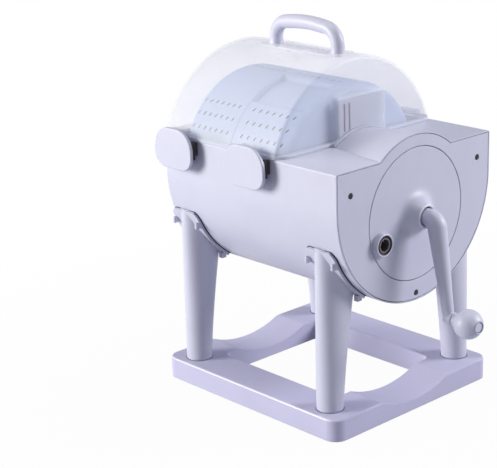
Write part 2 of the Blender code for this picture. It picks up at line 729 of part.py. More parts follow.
def tub_shell():
    """One moulding: wet tub, bulkhead, gear case, deck with its hump, keepers and hinge ears."""
    outer = body_outline(TUB_RADIUS, DECK_Z)
    shell = prism("tub_shell", outer, TUB_LEFT, PANEL_LEFT + 0.001)
    hump_start = HUMP_START_X - 0.0055
    join(shell, hump_cone("hump", 0, hump_start, PANEL_LEFT + 0.002))
    inner = body_outline(TUB_INNER, DECK_Z + 0.05)
    cut(shell, prism("wet_space", inner, TUB_LEFT + TUB_WALL, BULKHEAD_X))
    case = body_outline(TUB_INNER, DECK_Z - TUB_WALL)
    cut(shell, prism("gear_space", case, BULKHEAD_RIGHT, TUB_RIGHT + 0.01))
    cut(shell, hump_cone("hump_space", -TUB_WALL, hump_start + TUB_WALL, TUB_RIGHT + 0.01))
    boss_end = DRUM_PINION_X - 0.001
    join(shell, rod("drive_boss", BULKHEAD_X + 0.001, boss_end, SHAFT_RADIUS + 0.0085, 0, DRUM_AXIS_Z, 16))
    bush_hole = SHAFT_RADIUS + RUNNING + BUSH_WALL + SEAT
    cut(shell, rod("drive_hole", BULKHEAD_X - 0.01, boss_end + 0.01, bush_hole, 0, DRUM_AXIS_Z, 16))
    idle_end = DRUM_LEFT - 0.0015
    idle_boss = IDLE_RADIUS + 0.0075
    join(shell, rod("idle_boss", TUB_LEFT + 0.001, idle_end, idle_boss, 0, DRUM_AXIS_Z, 16))
    idle_hole = IDLE_RADIUS + RUNNING + BUSH_WALL + SEAT
    cut(shell, rod("idle_hole", TUB_LEFT - 0.01, idle_end + 0.01, idle_hole, 0, DRUM_AXIS_Z, 16))
    pin_end = OUTER_GEAR_X
    join(shell, rod("low_pin", BULKHEAD_RIGHT - 0.001, pin_end + 0.006, LOW_PIN_RADIUS, LOW_Y, LOW_Z, 12))
    for y, z in PANEL_SCREWS:
        join(shell, screw_boss(y, z))
    for y, z in PANEL_SCREWS:
        hole = SCREW_RADIUS + SEAT
        cut(shell, rod("screw_hole", PANEL_LEFT - SCREW_LENGTH - 0.002, TUB_RIGHT, hole, y, z, 8))
    for x in LATCH_X:
        join(shell, keeper(x))
    for x in HINGE_X:
        for side in (-1, 1):
            start = x + side * (HINGE_HALF + RUNNING + HINGE_EAR / 2) - HINGE_EAR / 2
            join(shell, hinge_ear(start))
    hole = PIN_RADIUS + SEAT
    cut(shell, rod("hinge_hole", -0.2, 0.1, hole, HINGE_Y, HINGE_Z, 8))
    join(shell, rod("drain_spout", TUB_LEFT - DRAIN_LENGTH, TUB_LEFT + 0.001, DRAIN_RADIUS, 0, DRAIN_Z, 16))
    cut(shell, rod("drain_way", TUB_LEFT - 0.02, TUB_LEFT + 0.01, DRAIN_BORE + SEAT, 0, DRAIN_Z, 16))
    cut(shell, box("case_end", (PANEL_LEFT - SEAT, -0.3, 0), (0.3, 0.3, 0.6)))
    return part(shell, "tub_shell", "body")


PANEL_SCREWS = (
    (-PANEL_SCREW_Y, PANEL_SCREW_Z),
    (PANEL_SCREW_Y, PANEL_SCREW_Z),
    (0.0, TUB_BOTTOM + PANEL_SCREW_RISE),
)


def screw_boss(y, z):
    """A boss inside the gear case, with a web to the nearest wall."""
    end = PANEL_LEFT + 0.0015
    start = end - SCREW_LENGTH - 0.006
    boss = rod("screw_boss", start, end, SCREW_BOSS, y, z, 10)
    if y:
        side = 1 if y > 0 else -1
        ends = sorted((y, side * (TUB_INNER + 0.001)))
        web = box("boss_web", (start + 0.001, ends[0], z - 0.0012), (end - 0.001, ends[1], z + 0.0012))
    else:
        low = DRUM_AXIS_Z - TUB_INNER - 0.001
        web = box("boss_web", (start + 0.001, -0.0012, low), (end - 0.001, 0.0012, z))
    return join(boss, web)


def keeper(x):
    """The ledge on the front wall that a latch hooks under."""
    wall = -TUB_RADIUS + 0.001
    tip = -TUB_RADIUS - KEEPER_REACH
    low, high = KEEPER_BOTTOM, KEEPER_BOTTOM + KEEPER_HEIGHT
    outline = [(wall, low), (tip, low), (tip, low + 0.002), (wall, high + 0.004)]
    return prism("keeper", outline, x - KEEPER_HALF, x + KEEPER_HALF)


def hinge_ear(start):
    """A bracket on the rear wall that holds one end of a hinge pin."""
    wall = TUB_RADIUS - 0.001
    clear = TUB_RADIUS + RIM_OVERHANG + 0.0006
    round_end = arc((HINGE_Y, HINGE_Z), HINGE_RADIUS, -30, 150, 6)
    top = DECK_Z - 0.002
    outline = [(wall, top - 0.012), (wall, top), (clear, top)] + round_end[::-1]
    return prism("hinge_ear", outline, start, start + HINGE_EAR)


def hinge_pins():
    for side, x in zip(("left", "right"), HINGE_X):
        half = HINGE_HALF + RUNNING + HINGE_EAR
        pin = rod("hinge_pin", x - half, x + half, PIN_RADIUS, HINGE_Y, HINGE_Z, 8)
        part(pin, "hinge_pin_" + side, "steel")


def drive_end_panel():
    panel = prism("drive_end_panel", panel_outline(0), PANEL_LEFT, TUB_RIGHT)
    ledge = COVER_RADIUS - COVER_LEDGE
    rim = COVER_RADIUS + COVER_LEDGE / 2
    join(panel, rod("cover_ledge", PANEL_LEFT - PANEL, PANEL_LEFT + 0.001, rim, 0, CRANK_AXIS_Z, 28))
    seat = COVER_BACK - SEAT
    way = [(PANEL_LEFT - 0.01, 0), (PANEL_LEFT - 0.01, ledge), (seat, ledge)]
    hole = COVER_RADIUS + COVER_GAP
    way += [(seat, hole), (TUB_RIGHT + 0.01, hole), (TUB_RIGHT + 0.01, 0)]
    cut(panel, turned("cover_way", way, 0, CRANK_AXIS_Z, 36))
    for y, z in PANEL_SCREWS:
        sink = TUB_RIGHT - HEAD_SINK
        shank, head = SCREW_RADIUS + SEAT, SCREW_HEAD + SEAT
        hole = [(PANEL_LEFT - 0.01, 0), (PANEL_LEFT - 0.01, shank), (sink, shank), (sink, head)]
        hole += [(TUB_RIGHT + 0.01, head), (TUB_RIGHT + 0.01, 0)]
        cut(panel, turned("screw_way", hole, y, z, 8))
    part(panel, "drive_end_panel", "body")
    for name, (y, z) in zip(("front", "rear", "low"), PANEL_SCREWS):
        head = TUB_RIGHT - HEAD_SINK + SEAT
        tip = PANEL_LEFT - SCREW_LENGTH
        profile = [(tip, 0), (tip, SCREW_RADIUS), (head, SCREW_RADIUS), (head, SCREW_HEAD)]
        profile += [(head + SCREW_HEAD_HEIGHT, SCREW_HEAD), (head + SCREW_HEAD_HEIGHT, 0)]
        part(turned("panel_screw", profile, y, z, 8), "panel_screw_" + name, "steel")


def flare_height(radius):
    """How far the cover's face has risen at a radius, on its way out to the crank's mouth."""
    share = max(0.0, (FLARE_RADIUS - radius) / (FLARE_RADIUS - MOUTH_RADIUS))
    return FLARE_HEIGHT * min(1.0, share**FLARE_POWER)


def gear_cover():
    """The round cover with its flared mouth for the crank and a smaller boss beside it."""
    back = COVER_BACK
    face = TUB_RIGHT
    steps = 4
    profile = [(back, COVER_RADIUS), (face, COVER_RADIUS)]
    for i in range(steps + 1):
        radius = FLARE_RADIUS + (MOUTH_RADIUS - FLARE_RADIUS) * i / steps
        profile.append((face + flare_height(radius), radius))
    seat = BUSH_RADIUS + SEAT
    outside = seat + BOSS_WALL
    mouth = MOUTH_RADIUS - MOUTH_WALL
    profile += [(face + FLARE_HEIGHT, mouth), (SLEEVE_END + 0.001, mouth), (SLEEVE_END + 0.001, seat)]
    profile += [(back - BUSH_REACH, seat), (back - BUSH_REACH, outside)]
    for radius in (outside, outside + 0.008):
        profile.append((face + max(flare_height(radius + 0.003) - PANEL, 0.0), radius))
    profile.append((back, outside + 0.016))
    cover = turned("gear_cover", profile, 0, CRANK_AXIS_Z, 36, ring=True)
    boss = [(back + 0.001, 0), (back + 0.001, LOW_BOSS_FLARE), (face, LOW_BOSS_FLARE)]
    boss += [(face + LOW_BOSS_HEIGHT * 0.25, LOW_BOSS_RADIUS + 0.0022), (face + LOW_BOSS_HEIGHT, LOW_BOSS_RADIUS)]
    boss += [(face + LOW_BOSS_HEIGHT, 0)]
    join(cover, turned("low_boss", boss, LOW_Y, LOW_Z, 16))
    cut(cover, rod("low_way", back - 0.01, TUB_RIGHT + 0.02, SLEEVE_RADIUS + RUNNING, LOW_Y, LOW_Z, 16))
    return part(cover, "gear_cover", "body")


def crank_train():
    """The crank shaft with its two step gear, and the bush it turns in."""
    shaft = rod("crank_shaft", RING_WEB_X - 0.001, SLEEVE_END, SLEEVE_RADIUS, 0, CRANK_AXIS_Z, 16)
    bore = moved_outline(spline_outline(SOCKET_RADIUS, SEAT), 0, CRANK_AXIS_Z)
    cut(shaft, prism("crank_bore", bore, SLEEVE_END - PLUG_LENGTH - 0.004, SLEEVE_END + 0.01))
    part(shaft, "crank_shaft", "steel", CRANK_AXIS)
    start = COVER_BACK - BUSH_REACH
    bush = tube("crank_bush", start, SLEEVE_END - 0.001, SLEEVE_RADIUS + RUNNING, BUSH_RADIUS, 0, CRANK_AXIS_Z)
    part(bush, "crank_bush", "gear")
    drive_gear()


def drive_gear():
    """Inner teeth turn the drum, and the outer teeth are turned from the second socket."""
    root = RING_ROOT
    rim = root + GEAR_RIM
    gear = rod("drive_gear", DRUM_PINION_X, OUTER_GEAR_X, rim, 0, CRANK_AXIS_Z, 32)
    tip = RING_RADIUS + ADDENDUM * MODULE
    turn = radians(LOW_SOCKET_ANGLE)
    low = RING_RADIUS - DEDENDUM * MODULE
    outer_teeth = gear_outline(RING_TEETH, tip, low, BACKLASH, turn, 2)
    outline = moved_outline(outer_teeth, 0, CRANK_AXIS_Z)
    join(gear, prism("outer_teeth", outline, OUTER_GEAR_X - 0.001, OUTER_GEAR_END))
    spaces = gear_outline(RING_TEETH, root, RING_RADIUS - ADDENDUM * MODULE, -BACKLASH, pi / 2, 2)
    outline = moved_outline(spaces, 0, CRANK_AXIS_Z)
    cut(gear, prism("inner_teeth", outline, DRUM_PINION_X - 0.01, RING_WEB_X))
    dish = RING_RADIUS - DEDENDUM * MODULE - 0.004
    hub = SLEEVE_RADIUS + 0.006
    end = OUTER_GEAR_END + 0.01
    cut(gear, tube("gear_dish", OUTER_GEAR_X, end, hub, dish, 0, CRANK_AXIS_Z, 16))
    cut(gear, rod("gear_bore", RING_WEB_X - 0.01, end, SLEEVE_RADIUS + SEAT, 0, CRANK_AXIS_Z, 16))
    part(gear, "drive_gear", "gear", CRANK_AXIS)


def low_pinion():
    """The small gear behind the second socket, running on a pin of the bulkhead."""
    pitch = MODULE * LOW_PINION_TEETH / 2
    turn = radians(LOW_SOCKET_ANGLE) + pi + pi / LOW_PINION_TEETH
    teeth = gear_outline(
        LOW_PINION_TEETH, pitch + ADDENDUM * MODULE, pitch - DEDENDUM * MODULE, BACKLASH, turn
    )
    end = TUB_RIGHT + LOW_BOSS_HEIGHT - 0.001
    pinion = prism("low_pinion", moved_outline(teeth, LOW_Y, LOW_Z), OUTER_GEAR_X + 0.001, OUTER_GEAR_END)
    join(pinion, rod("low_sleeve", OUTER_GEAR_END - 0.001, end, SLEEVE_RADIUS, LOW_Y, LOW_Z, 16))
    bore = moved_outline(spline_outline(SOCKET_RADIUS, SEAT), LOW_Y, LOW_Z)
    cut(pinion, prism("low_bore", bore, end - PLUG_LENGTH - 0.004, end + 0.01))
    bore = LOW_PIN_RADIUS + RUNNING
    cut(pinion, rod("pin_bore", OUTER_GEAR_X - 0.01, OUTER_GEAR_X + 0.008, bore, LOW_Y, LOW_Z, 12))
    part(pinion, "low_pinion", "gear", LOW_AXIS)


def gear_bracket():
    """A round plate on three posts that steadies the crank shaft and the low pinion."""
    plate = rod("gear_bracket", BRACKET_X, BRACKET_X + BRACKET, BRACKET_RADIUS, 0, CRANK_AXIS_Z, 28)
    for angle in (35, 145, 270):
        y = BRACKET_POSTS * cos(radians(angle))
        z = CRANK_AXIS_Z + BRACKET_POSTS * sin(radians(angle))
        start = BULKHEAD_RIGHT + SEAT
        join(plate, rod("bracket_post", start, BRACKET_X + 0.001, BRACKET_POST_RADIUS, y, z, 8))
    for angle in (90, 320):
        y = BRACKET_WINDOWS * cos(radians(angle))
        z = CRANK_AXIS_Z + BRACKET_WINDOWS * sin(radians(angle))
        cut(plate, rod("bracket_window", BRACKET_X - 0.01, BRACKET_X + 0.01, BRACKET_WINDOW_RADIUS, y, z, 12))
    hole = SLEEVE_RADIUS + RUNNING
    cut(plate, rod("bracket_hole", BRACKET_X - 0.01, BRACKET_X + 0.01, hole, 0, CRANK_AXIS_Z, 16))
    cut(plate, rod("low_hole", BRACKET_X - 0.01, BRACKET_X + 0.01, hole, LOW_Y, LOW_Z, 16))
    part(plate, "gear_bracket", "gear")


def drum_drive():
    """The drum's driven shaft, its pinion, bush and seal."""
    flange_left = DRUM_RIGHT - DRUM_WALL - SEAT - SHAFT_FLANGE_THICKNESS
    flange_right = flange_left + SHAFT_FLANGE_THICKNESS
    end = DRUM_PINION_X + GEAR_WIDTH - 0.0005
    profile = [(flange_left, 0), (flange_left, SHAFT_FLANGE), (flange_right, SHAFT_FLANGE)]
    profile += [(flange_right, SHAFT_RADIUS), (end, SHAFT_RADIUS), (end, 0)]
    part(turned("drum_shaft", profile, 0, DRUM_AXIS_Z, 16), "drum_shaft", "steel", DRUM_AXIS)
    pitch = MODULE * DRUM_PINION_TEETH / 2
    teeth = gear_outline(
        DRUM_PINION_TEETH, pitch + ADDENDUM * MODULE, pitch - DEDENDUM * MODULE, BACKLASH, pi / 2, 2
    )
    pinion = prism("drum_pinion", moved_outline(teeth, 0, DRUM_AXIS_Z), DRUM_PINION_X, end)
    cut(pinion, rod("pinion_bore", DRUM_PINION_X - 0.01, end + 0.01, SHAFT_RADIUS + SEAT, 0, DRUM_AXIS_Z, 16))
    part(pinion, "drum_pinion", "gear", DRUM_AXIS)
    inner = SHAFT_RADIUS + RUNNING
    outer = inner + BUSH_WALL
    boss_end = DRUM_PINION_X - 0.001
    middle = BULKHEAD_X + 0.006
    part(tube("drive_bush", BULKHEAD_X, middle, inner, outer, 0, DRUM_AXIS_Z), "drive_bush", "gear")
    seal = tube("shaft_seal", middle + SEAT, boss_end, SHAFT_RADIUS + SEAT, outer, 0, DRUM_AXIS_Z)
    part(seal, "shaft_seal", "rubber")


def idle_end():
    """The plain bearing at the drum's left end."""
    inside = DRUM_LEFT + DRUM_WALL + SEAT
    tip = TUB_LEFT - 0.0012
    profile = [(inside + SHAFT_FLANGE_THICKNESS, 0), (inside + SHAFT_FLANGE_THICKNESS, SHAFT_FLANGE)]
    profile += [(inside, SHAFT_FLANGE), (inside, IDLE_RADIUS), (tip, IDLE_RADIUS), (tip, 0)]
    part(turned("idle_axle", profile, 0, DRUM_AXIS_Z, 16), "idle_axle", "steel", DRUM_AXIS)
    inner = IDLE_RADIUS + RUNNING
    outer = inner + BUSH_WALL
    bush = tube("idle_bush", TUB_LEFT, DRUM_LEFT - 0.0015, inner, outer, 0, DRUM_AXIS_Z)
    part(bush, "idle_bush", "gear")
    skirt = IDLE_CAP_RADIUS - BOSS_WALL
    cap = [(TUB_LEFT - IDLE_CAP_HEIGHT, 0), (TUB_LEFT - IDLE_CAP_HEIGHT + 0.0006, IDLE_CAP_RADIUS - 0.002)]
    cap += [(TUB_LEFT - 0.0018, IDLE_CAP_RADIUS), (TUB_LEFT - SEAT, IDLE_CAP_RADIUS)]
    cap += [(TUB_LEFT - SEAT, skirt), (TUB_LEFT - 0.0016, skirt), (TUB_LEFT - 0.0016, 0)]
    shell = turned("idle_cap", cap, 0, DRUM_AXIS_Z, 16)
    part(shell, "idle_cap", "body")


def pad_lift(angle, missing):
    """How far the drum's wall is raised at an angle: 1 on a pad, 0 in the valleys."""
    pitch = 360 / PAD_COUNT
    station = round((angle - PAD_FIRST) / pitch)
    middle = PAD_FIRST + station * pitch
    if abs((middle - missing) % 360) < 1:
        return 0.0
    off = abs(angle - middle)
    if off <= PAD_HALF_ANGLE:
        return 1.0
    return max(0.0, 1 - (off - PAD_HALF_ANGLE) / PAD_SLOPE)


def drum_angles():
    """Angles at the edges of each pad and between them, the same for every ring."""
    pitch = 360 / PAD_COUNT
    edge = PAD_HALF_ANGLE + PAD_SLOPE
    angles = []
    for station in range(PAD_COUNT):
        middle = PAD_FIRST + station * pitch
        for offset in (-edge, -PAD_HALF_ANGLE, -PAD_HALF_ANGLE / 3, PAD_HALF_ANGLE / 3, PAD_HALF_ANGLE, edge):
            angles.append(middle + offset)
        angles.append(middle + pitch / 2)
    return angles


def polar(radius, angle):
    """A point about the drum's axis, with angles measured from the front upwards."""
    return -radius * cos(radians(angle)), DRUM_AXIS_Z + radius * sin(radians(angle))


def drum_half(name, stations, missing):
    """A cup with raised pads: rings of (x, radius, lift), closed by the last ring's face."""
    angles = drum_angles()
    bm = bmesh.new()
    rows = []
    for x, radius, lift in stations:
        row = []
        for angle in angles:
            y, z = polar(radius + lift * PAD_LIFT * pad_lift(angle, missing), angle)
            row.append(bm.verts.new((x, y, z)))
        rows.append(row)
    count = len(angles)
    for lower, upper in zip(rows, rows[1:]):
        for i in range(count):
            j = (i + 1) % count
            bm.faces.new((lower[i], lower[j], upper[j], upper[i]))
    bm.faces.new(rows[-1])
    bmesh.ops.recalc_face_normals(bm, faces=bm.faces)
    cap = max(bm.faces, key=lambda face: len(face.verts))
    if cap.normal.x * (stations[-1][0] - stations[0][0]) < 0:
        bmesh.ops.reverse_faces(bm, faces=bm.faces)
    mesh = bpy.data.meshes.new(name)
    bm.to_mesh(mesh)
    bm.free()
    obj = bpy.data.objects.new(name, mesh)
    obj.parent = MACHINE
    CUTTERS.objects.link(obj)
    solidify = obj.modifiers.new("wall", "SOLIDIFY")
    solidify.thickness = DRUM_WALL
    solidify.offset = -1
    solidify.use_even_offset = True
    return obj


def slot_cutters(name, first_x, pitch_x, missing):
    """One long slot for each row of holes, three rows to a pad, as one cutter."""
    start = first_x - HOLE_WIDTH / 2
    end = first_x + (HOLES_PER_ROW - 1) * pitch_x + HOLE_WIDTH / 2
    half = HOLE_LENGTH / 2 / (DRUM_RADIUS + PAD_LIFT) * 180 / pi
    bm = bmesh.new()
    for station in range(PAD_COUNT):
        middle = PAD_FIRST + station * 360 / PAD_COUNT
        if abs((middle - missing) % 360) < 1:
            continue
        for row in HOLE_ROWS:
            add_slot(bm, start, end, middle + row - half, middle + row + half)
    return shape(name, bm)


def add_slot(bm, start, end, first, last):
    """A block through the drum's wall between two angles."""
    cube = bmesh.ops.create_cube(bm, size=1.0)["verts"]
    for vert in cube:
        radius = DRUM_RADIUS + PAD_LIFT + 0.004 if vert.co.z > 0 else DRUM_RADIUS - 0.006
        y, z = polar(radius, last if vert.co.y > 0 else first)
        vert.co = Vector((end if vert.co.x > 0 else start, y, z))


def wedge(name, start, end, inner, outer, first, last, steps=10):
    """A curved block about the drum's axis between two angles."""
    outer_arc = [polar(outer, first + (last - first) * i / steps) for i in range(steps + 1)]
    inner_arc = [polar(inner, last + (first - last) * i / steps) for i in range(steps + 1)]
    return prism(name, outer_arc + inner_arc, start, end)


def drum():
    lip_radius = DRUM_RADIUS - DRUM_WALL - 2 * SEAT
    left = [
        (DRUM_SEAM + LIP, lip_radius, 0),
        (DRUM_SEAM - SEAT / 2, lip_radius, 0),
        (DRUM_SEAM - SEAT / 2, DRUM_RADIUS, 0),
        (DRUM_SEAM - PAD_END / 2, DRUM_RADIUS, 0),
        (DRUM_SEAM - PAD_END / 2 - 0.002, DRUM_RADIUS, 1),
        (DRUM_LEFT + PAD_END / 2 + 0.002, DRUM_RADIUS, 1),
        (DRUM_LEFT + PAD_END / 2, DRUM_RADIUS, 0),
        (DRUM_LEFT, DRUM_RADIUS - 0.004, 0),
    ]
    half = drum_half("drum_left_half", left, -1000)
    pitch = HOLE_PITCH_LEFT
    middle = (DRUM_LEFT + DRUM_SEAM) / 2
    cut(half, slot_cutters("left_slots", middle - 3 * pitch, pitch, -1000))
    cut(half, rod("idle_hub", DRUM_LEFT - 0.01, DRUM_LEFT + 0.01, IDLE_RADIUS + SEAT, 0, DRUM_AXIS_Z, 16))
    part(half, "drum_left_half", "drum", DRUM_AXIS)

    shoulder_x = DRUM_RIGHT - SHOULDER
    right = [
        (DRUM_SEAM + SEAT / 2, DRUM_RADIUS, 0),
        (DRUM_SEAM + PAD_END / 2, DRUM_RADIUS, 0),
        (DRUM_SEAM + PAD_END / 2 + 0.002, DRUM_RADIUS, 1),
        (shoulder_x - 0.003, DRUM_RADIUS, 1),
        (shoulder_x - 0.001, DRUM_RADIUS, 0),
    ]
    for i in range(1, 3):
        turn = pi / 2 * i / 2
        right.append((shoulder_x + SHOULDER * sin(turn), DRUM_RADIUS - SHOULDER * (1 - cos(turn)), 0))
    half = drum_half("drum_right_half", right, DOOR_ANGLE)
    first = DOOR_ANGLE - DOOR_HALF_ANGLE + DOOR_LAP_ANGLE
    last = DOOR_ANGLE + DOOR_HALF_ANGLE - DOOR_LAP_ANGLE
    start, end = DOOR_LEFT + DOOR_LAP, DOOR_RIGHT - DOOR_LAP
    cut(half, wedge("door_way", start, end, INSIDE_DRUM - 0.01, DRUM_RADIUS + 0.01, first, last))
    cut(half, slot_cutters("right_slots", DRUM_SEAM + HOLE_START_RIGHT, HOLE_PITCH_RIGHT, DOOR_ANGLE))
    cut(half, rod("drive_hub", DRUM_RIGHT - 0.01, DRUM_RIGHT + 0.01, SHAFT_RADIUS + SEAT, 0, DRUM_AXIS_Z, 16))
    part(half, "drum_right_half", "drum", DRUM_AXIS)


def drum_door():
    """A curved door that slides round inside the drum, its grip ridge lifting the load as it turns."""
    outer = INSIDE_DRUM - RUNNING - 0.0002
    inner = outer - DOOR_THICKNESS
    first, last = DOOR_ANGLE - DOOR_HALF_ANGLE, DOOR_ANGLE + DOOR_HALF_ANGLE
    door = wedge("drum_door", DOOR_LEFT, DOOR_RIGHT, inner, outer, first, last, 12)
    grip = [polar(inner + 0.001, DOOR_ANGLE - 5), polar(inner - DOOR_GRIP, DOOR_ANGLE - 1)]
    grip += [polar(inner - DOOR_GRIP, DOOR_ANGLE + 1), polar(inner + 0.001, DOOR_ANGLE + 5)]
    clear = RAIL_GRIP + 0.002
    join(door, prism("door_grip", grip, DOOR_LEFT + clear, DOOR_RIGHT - clear))
    part(door, "drum_door", "drum", DRUM_AXIS)
    low = first - 1
    high = last + DOOR_TRAVEL + 1
    rail_in = inner - RUNNING - RAIL
    for name, edge, side in (("left", DOOR_LEFT, 1), ("right", DOOR_RIGHT, -1)):
        foot = edge - side * (RUNNING + RAIL)
        lip = edge + side * RAIL_GRIP
        ends = sorted((foot, edge - side * RUNNING))
        rail = wedge("door_rail", ends[0], ends[1], rail_in, INSIDE_DRUM - SEAT - 0.0002, low, high, 14)
        ends = sorted((edge - side * (RUNNING + 0.001), lip))
        join(rail, wedge("rail_lip", ends[0], ends[1], rail_in, inner - RUNNING, low, high, 14))
        part(rail, "door_rail_" + name, "drum", DRUM_AXIS)


def lifters():
    for number, angle in enumerate(LIFTER_ANGLES, 1):
        outer = INSIDE_DRUM - SEAT - DRUM_WALL - SEAT
        half = LIFTER_HALF_WIDTH / outer * 180 / pi
        outline = [polar(outer, angle - half), polar(outer - LIFTER_HEIGHT, angle - 1.6)]
        outline += [polar(outer - LIFTER_HEIGHT, angle + 1.6), polar(outer, angle + half)]
        outline += [polar(outer, angle + half / 3), polar(outer, angle - half / 3)]
        start = DRUM_LEFT + DRUM_WALL + 0.004
        bar = prism("lifter", outline, start, DRUM_RIGHT - SHOULDER)
        part(bar, "drum_lifter_%d" % number, "drum", DRUM_AXIS)


def crank_arm():
    """One tapered moulding: splined plug, round stub, elbow and the arm down to the knob."""
    curve = bpy.data.curves.new("crank_arm", "CURVE")
    curve.dimensions = "3D"
    curve.bevel_depth = 1.0
    curve.bevel_resolution = 2
    curve.use_fill_caps = True
    spline = curve.splines.new("POLY")
    route = arm_route()
    spline.points.add(len(route) - 1)
    for point, (x, z, radius) in zip(spline.points, route):
        point.co = (x, 0, z, 1)
        point.radius = radius
    arm = mesh_of_curve("crank_arm", curve)
    plug = moved_outline(spline_outline(SOCKET_RADIUS - SEAT, 0), 0, CRANK_AXIS_Z)
    start = SLEEVE_END + 0.003
    join(arm, prism("crank_plug", plug, SLEEVE_END - PLUG_LENGTH, start + 0.004))
    boss_end = KNOB_LEFT - KNOB_GAP
    join(arm, rod("arm_boss", ARM_LOW_X - 0.005, boss_end, KNOB_NECK, 0, CRANK_END_Z, 16))
    cut(arm, rod("spindle_hole", ARM_LOW_X, boss_end + 0.01, SPINDLE_RADIUS + SEAT, 0, CRANK_END_Z, 10))
    part(arm, "crank_arm", "body", CRANK_AXIS)


def arm_route():
    """Points (x, z, radius) down the middle of the crank."""
    start = SLEEVE_END + 0.003
    bend = 0.011
    lean = atan2(ARM_LOW_X - ARM_TOP_X, CRANK_THROW)
    route = [(start, CRANK_AXIS_Z, STUB_RADIUS), (ARM_TOP_X - bend, CRANK_AXIS_Z, STUB_RADIUS + 0.0004)]
    steps = 4
    for i in range(1, steps + 1):
        turn = (pi / 2 - lean) * i / steps
        x = ARM_TOP_X - bend + bend * sin(turn)
        z = CRANK_AXIS_Z - bend * (1 - cos(turn))
        route.append((x, z, STUB_RADIUS + (ARM_TOP_RADIUS - STUB_RADIUS) * i / steps))
    x0, z0, radius0 = route[-1]
    for share in (0.33, 0.67, 1.0, 1.05):
        x = x0 + (ARM_LOW_X - x0) * share
        z = z0 + (CRANK_END_Z - z0) * share
        route.append((x, z, radius0 + (ARM_LOW_RADIUS - radius0) * min(share, 1.0)))
    route.append((route[-1][0], route[-1][1] - 0.002, ARM_LOW_RADIUS * 0.75))
    return route


def mesh_of_curve(name, curve):
    """A curve's tube as a welded mesh, ready to be cut or joined."""
    source = bpy.data.objects.new(name + "_curve", curve)
    source.parent = MACHINE
    CUTTERS.objects.link(source)
    bpy.context.view_layer.update()
    graph = bpy.context.evaluated_depsgraph_get()
    mesh = bpy.data.meshes.new_from_object(source.evaluated_get(graph))
    bpy.data.objects.remove(source, do_unlink=True)
    bm = bmesh.new()
    bm.from_mesh(mesh)
    bmesh.ops.remove_doubles(bm, verts=bm.verts, dist=1e-5)
    return shape(name, bm)


def crank_knob():
    """The round grip that turns on its spindle."""
    profile = [(KNOB_LEFT, 0), (KNOB_LEFT, KNOB_NECK - 0.001), (KNOB_LEFT + 0.001, KNOB_NECK)]
    steps = 7
    first = acos(min(1.0, (KNOB_CENTRE - KNOB_LEFT - 0.003) / KNOB_RADIUS) * 0.87)
    for i in range(steps + 1):
        angle = first + (pi * (1 - KNOB_FLAT) - first) * i / steps
        profile.append((KNOB_CENTRE - KNOB_RADIUS * cos(angle), KNOB_RADIUS * sin(angle)))
    profile += [(KNOB_FACE, 0)]
    knob = turned("crank_knob", profile, 0, CRANK_END_Z, 18)
    recess = KNOB_FACE - KNOB_RECESS
    bore = SPINDLE_RADIUS + RUNNING
    cut(knob, rod("knob_recess", recess, KNOB_FACE + 0.01, SPINDLE_HEAD + 2 * RUNNING, 0, CRANK_END_Z, 12))
    cut(knob, rod("knob_bore", KNOB_LEFT - 0.01, KNOB_FACE + 0.01, bore, 0, CRANK_END_Z, 10))
    part(knob, "crank_knob", "body", KNOB_AXIS)
    spindle = rod("knob_spindle", ARM_LOW_X + SEAT, recess + 0.0010, SPINDLE_RADIUS, 0, CRANK_END_Z, 10)
    join(spindle, rod("spindle_head", recess + RUNNING, recess + 0.0026, SPINDLE_HEAD, 0, CRANK_END_Z, 12))
    part(spindle, "knob_spindle", "steel", CRANK_AXIS)


def dome(name, offset, steps=40):
    """The lid's round body, shrunk by offset, as a turned solid with rounded ends."""
    left, right = LID_LEFT + offset, LID_RIGHT - offset
    radius = LID_RADIUS - offset
    edge = LID_EDGE - offset
    profile = [(left, 0)]
    profile += arc((left + edge, radius - edge), edge, 180, 90, 3)
    profile += arc((right - edge, radius - edge), edge, 90, 0, 3)
    profile += [(right, 0)]
    return turned(name, profile, 0, LID_AXIS_Z, steps)


def clip_box(name, below):
    """Everything under the deck's level, to trim a helper with."""
    return box(name, (-0.3, -0.3, -0.1), (0.3, 0.3, below))


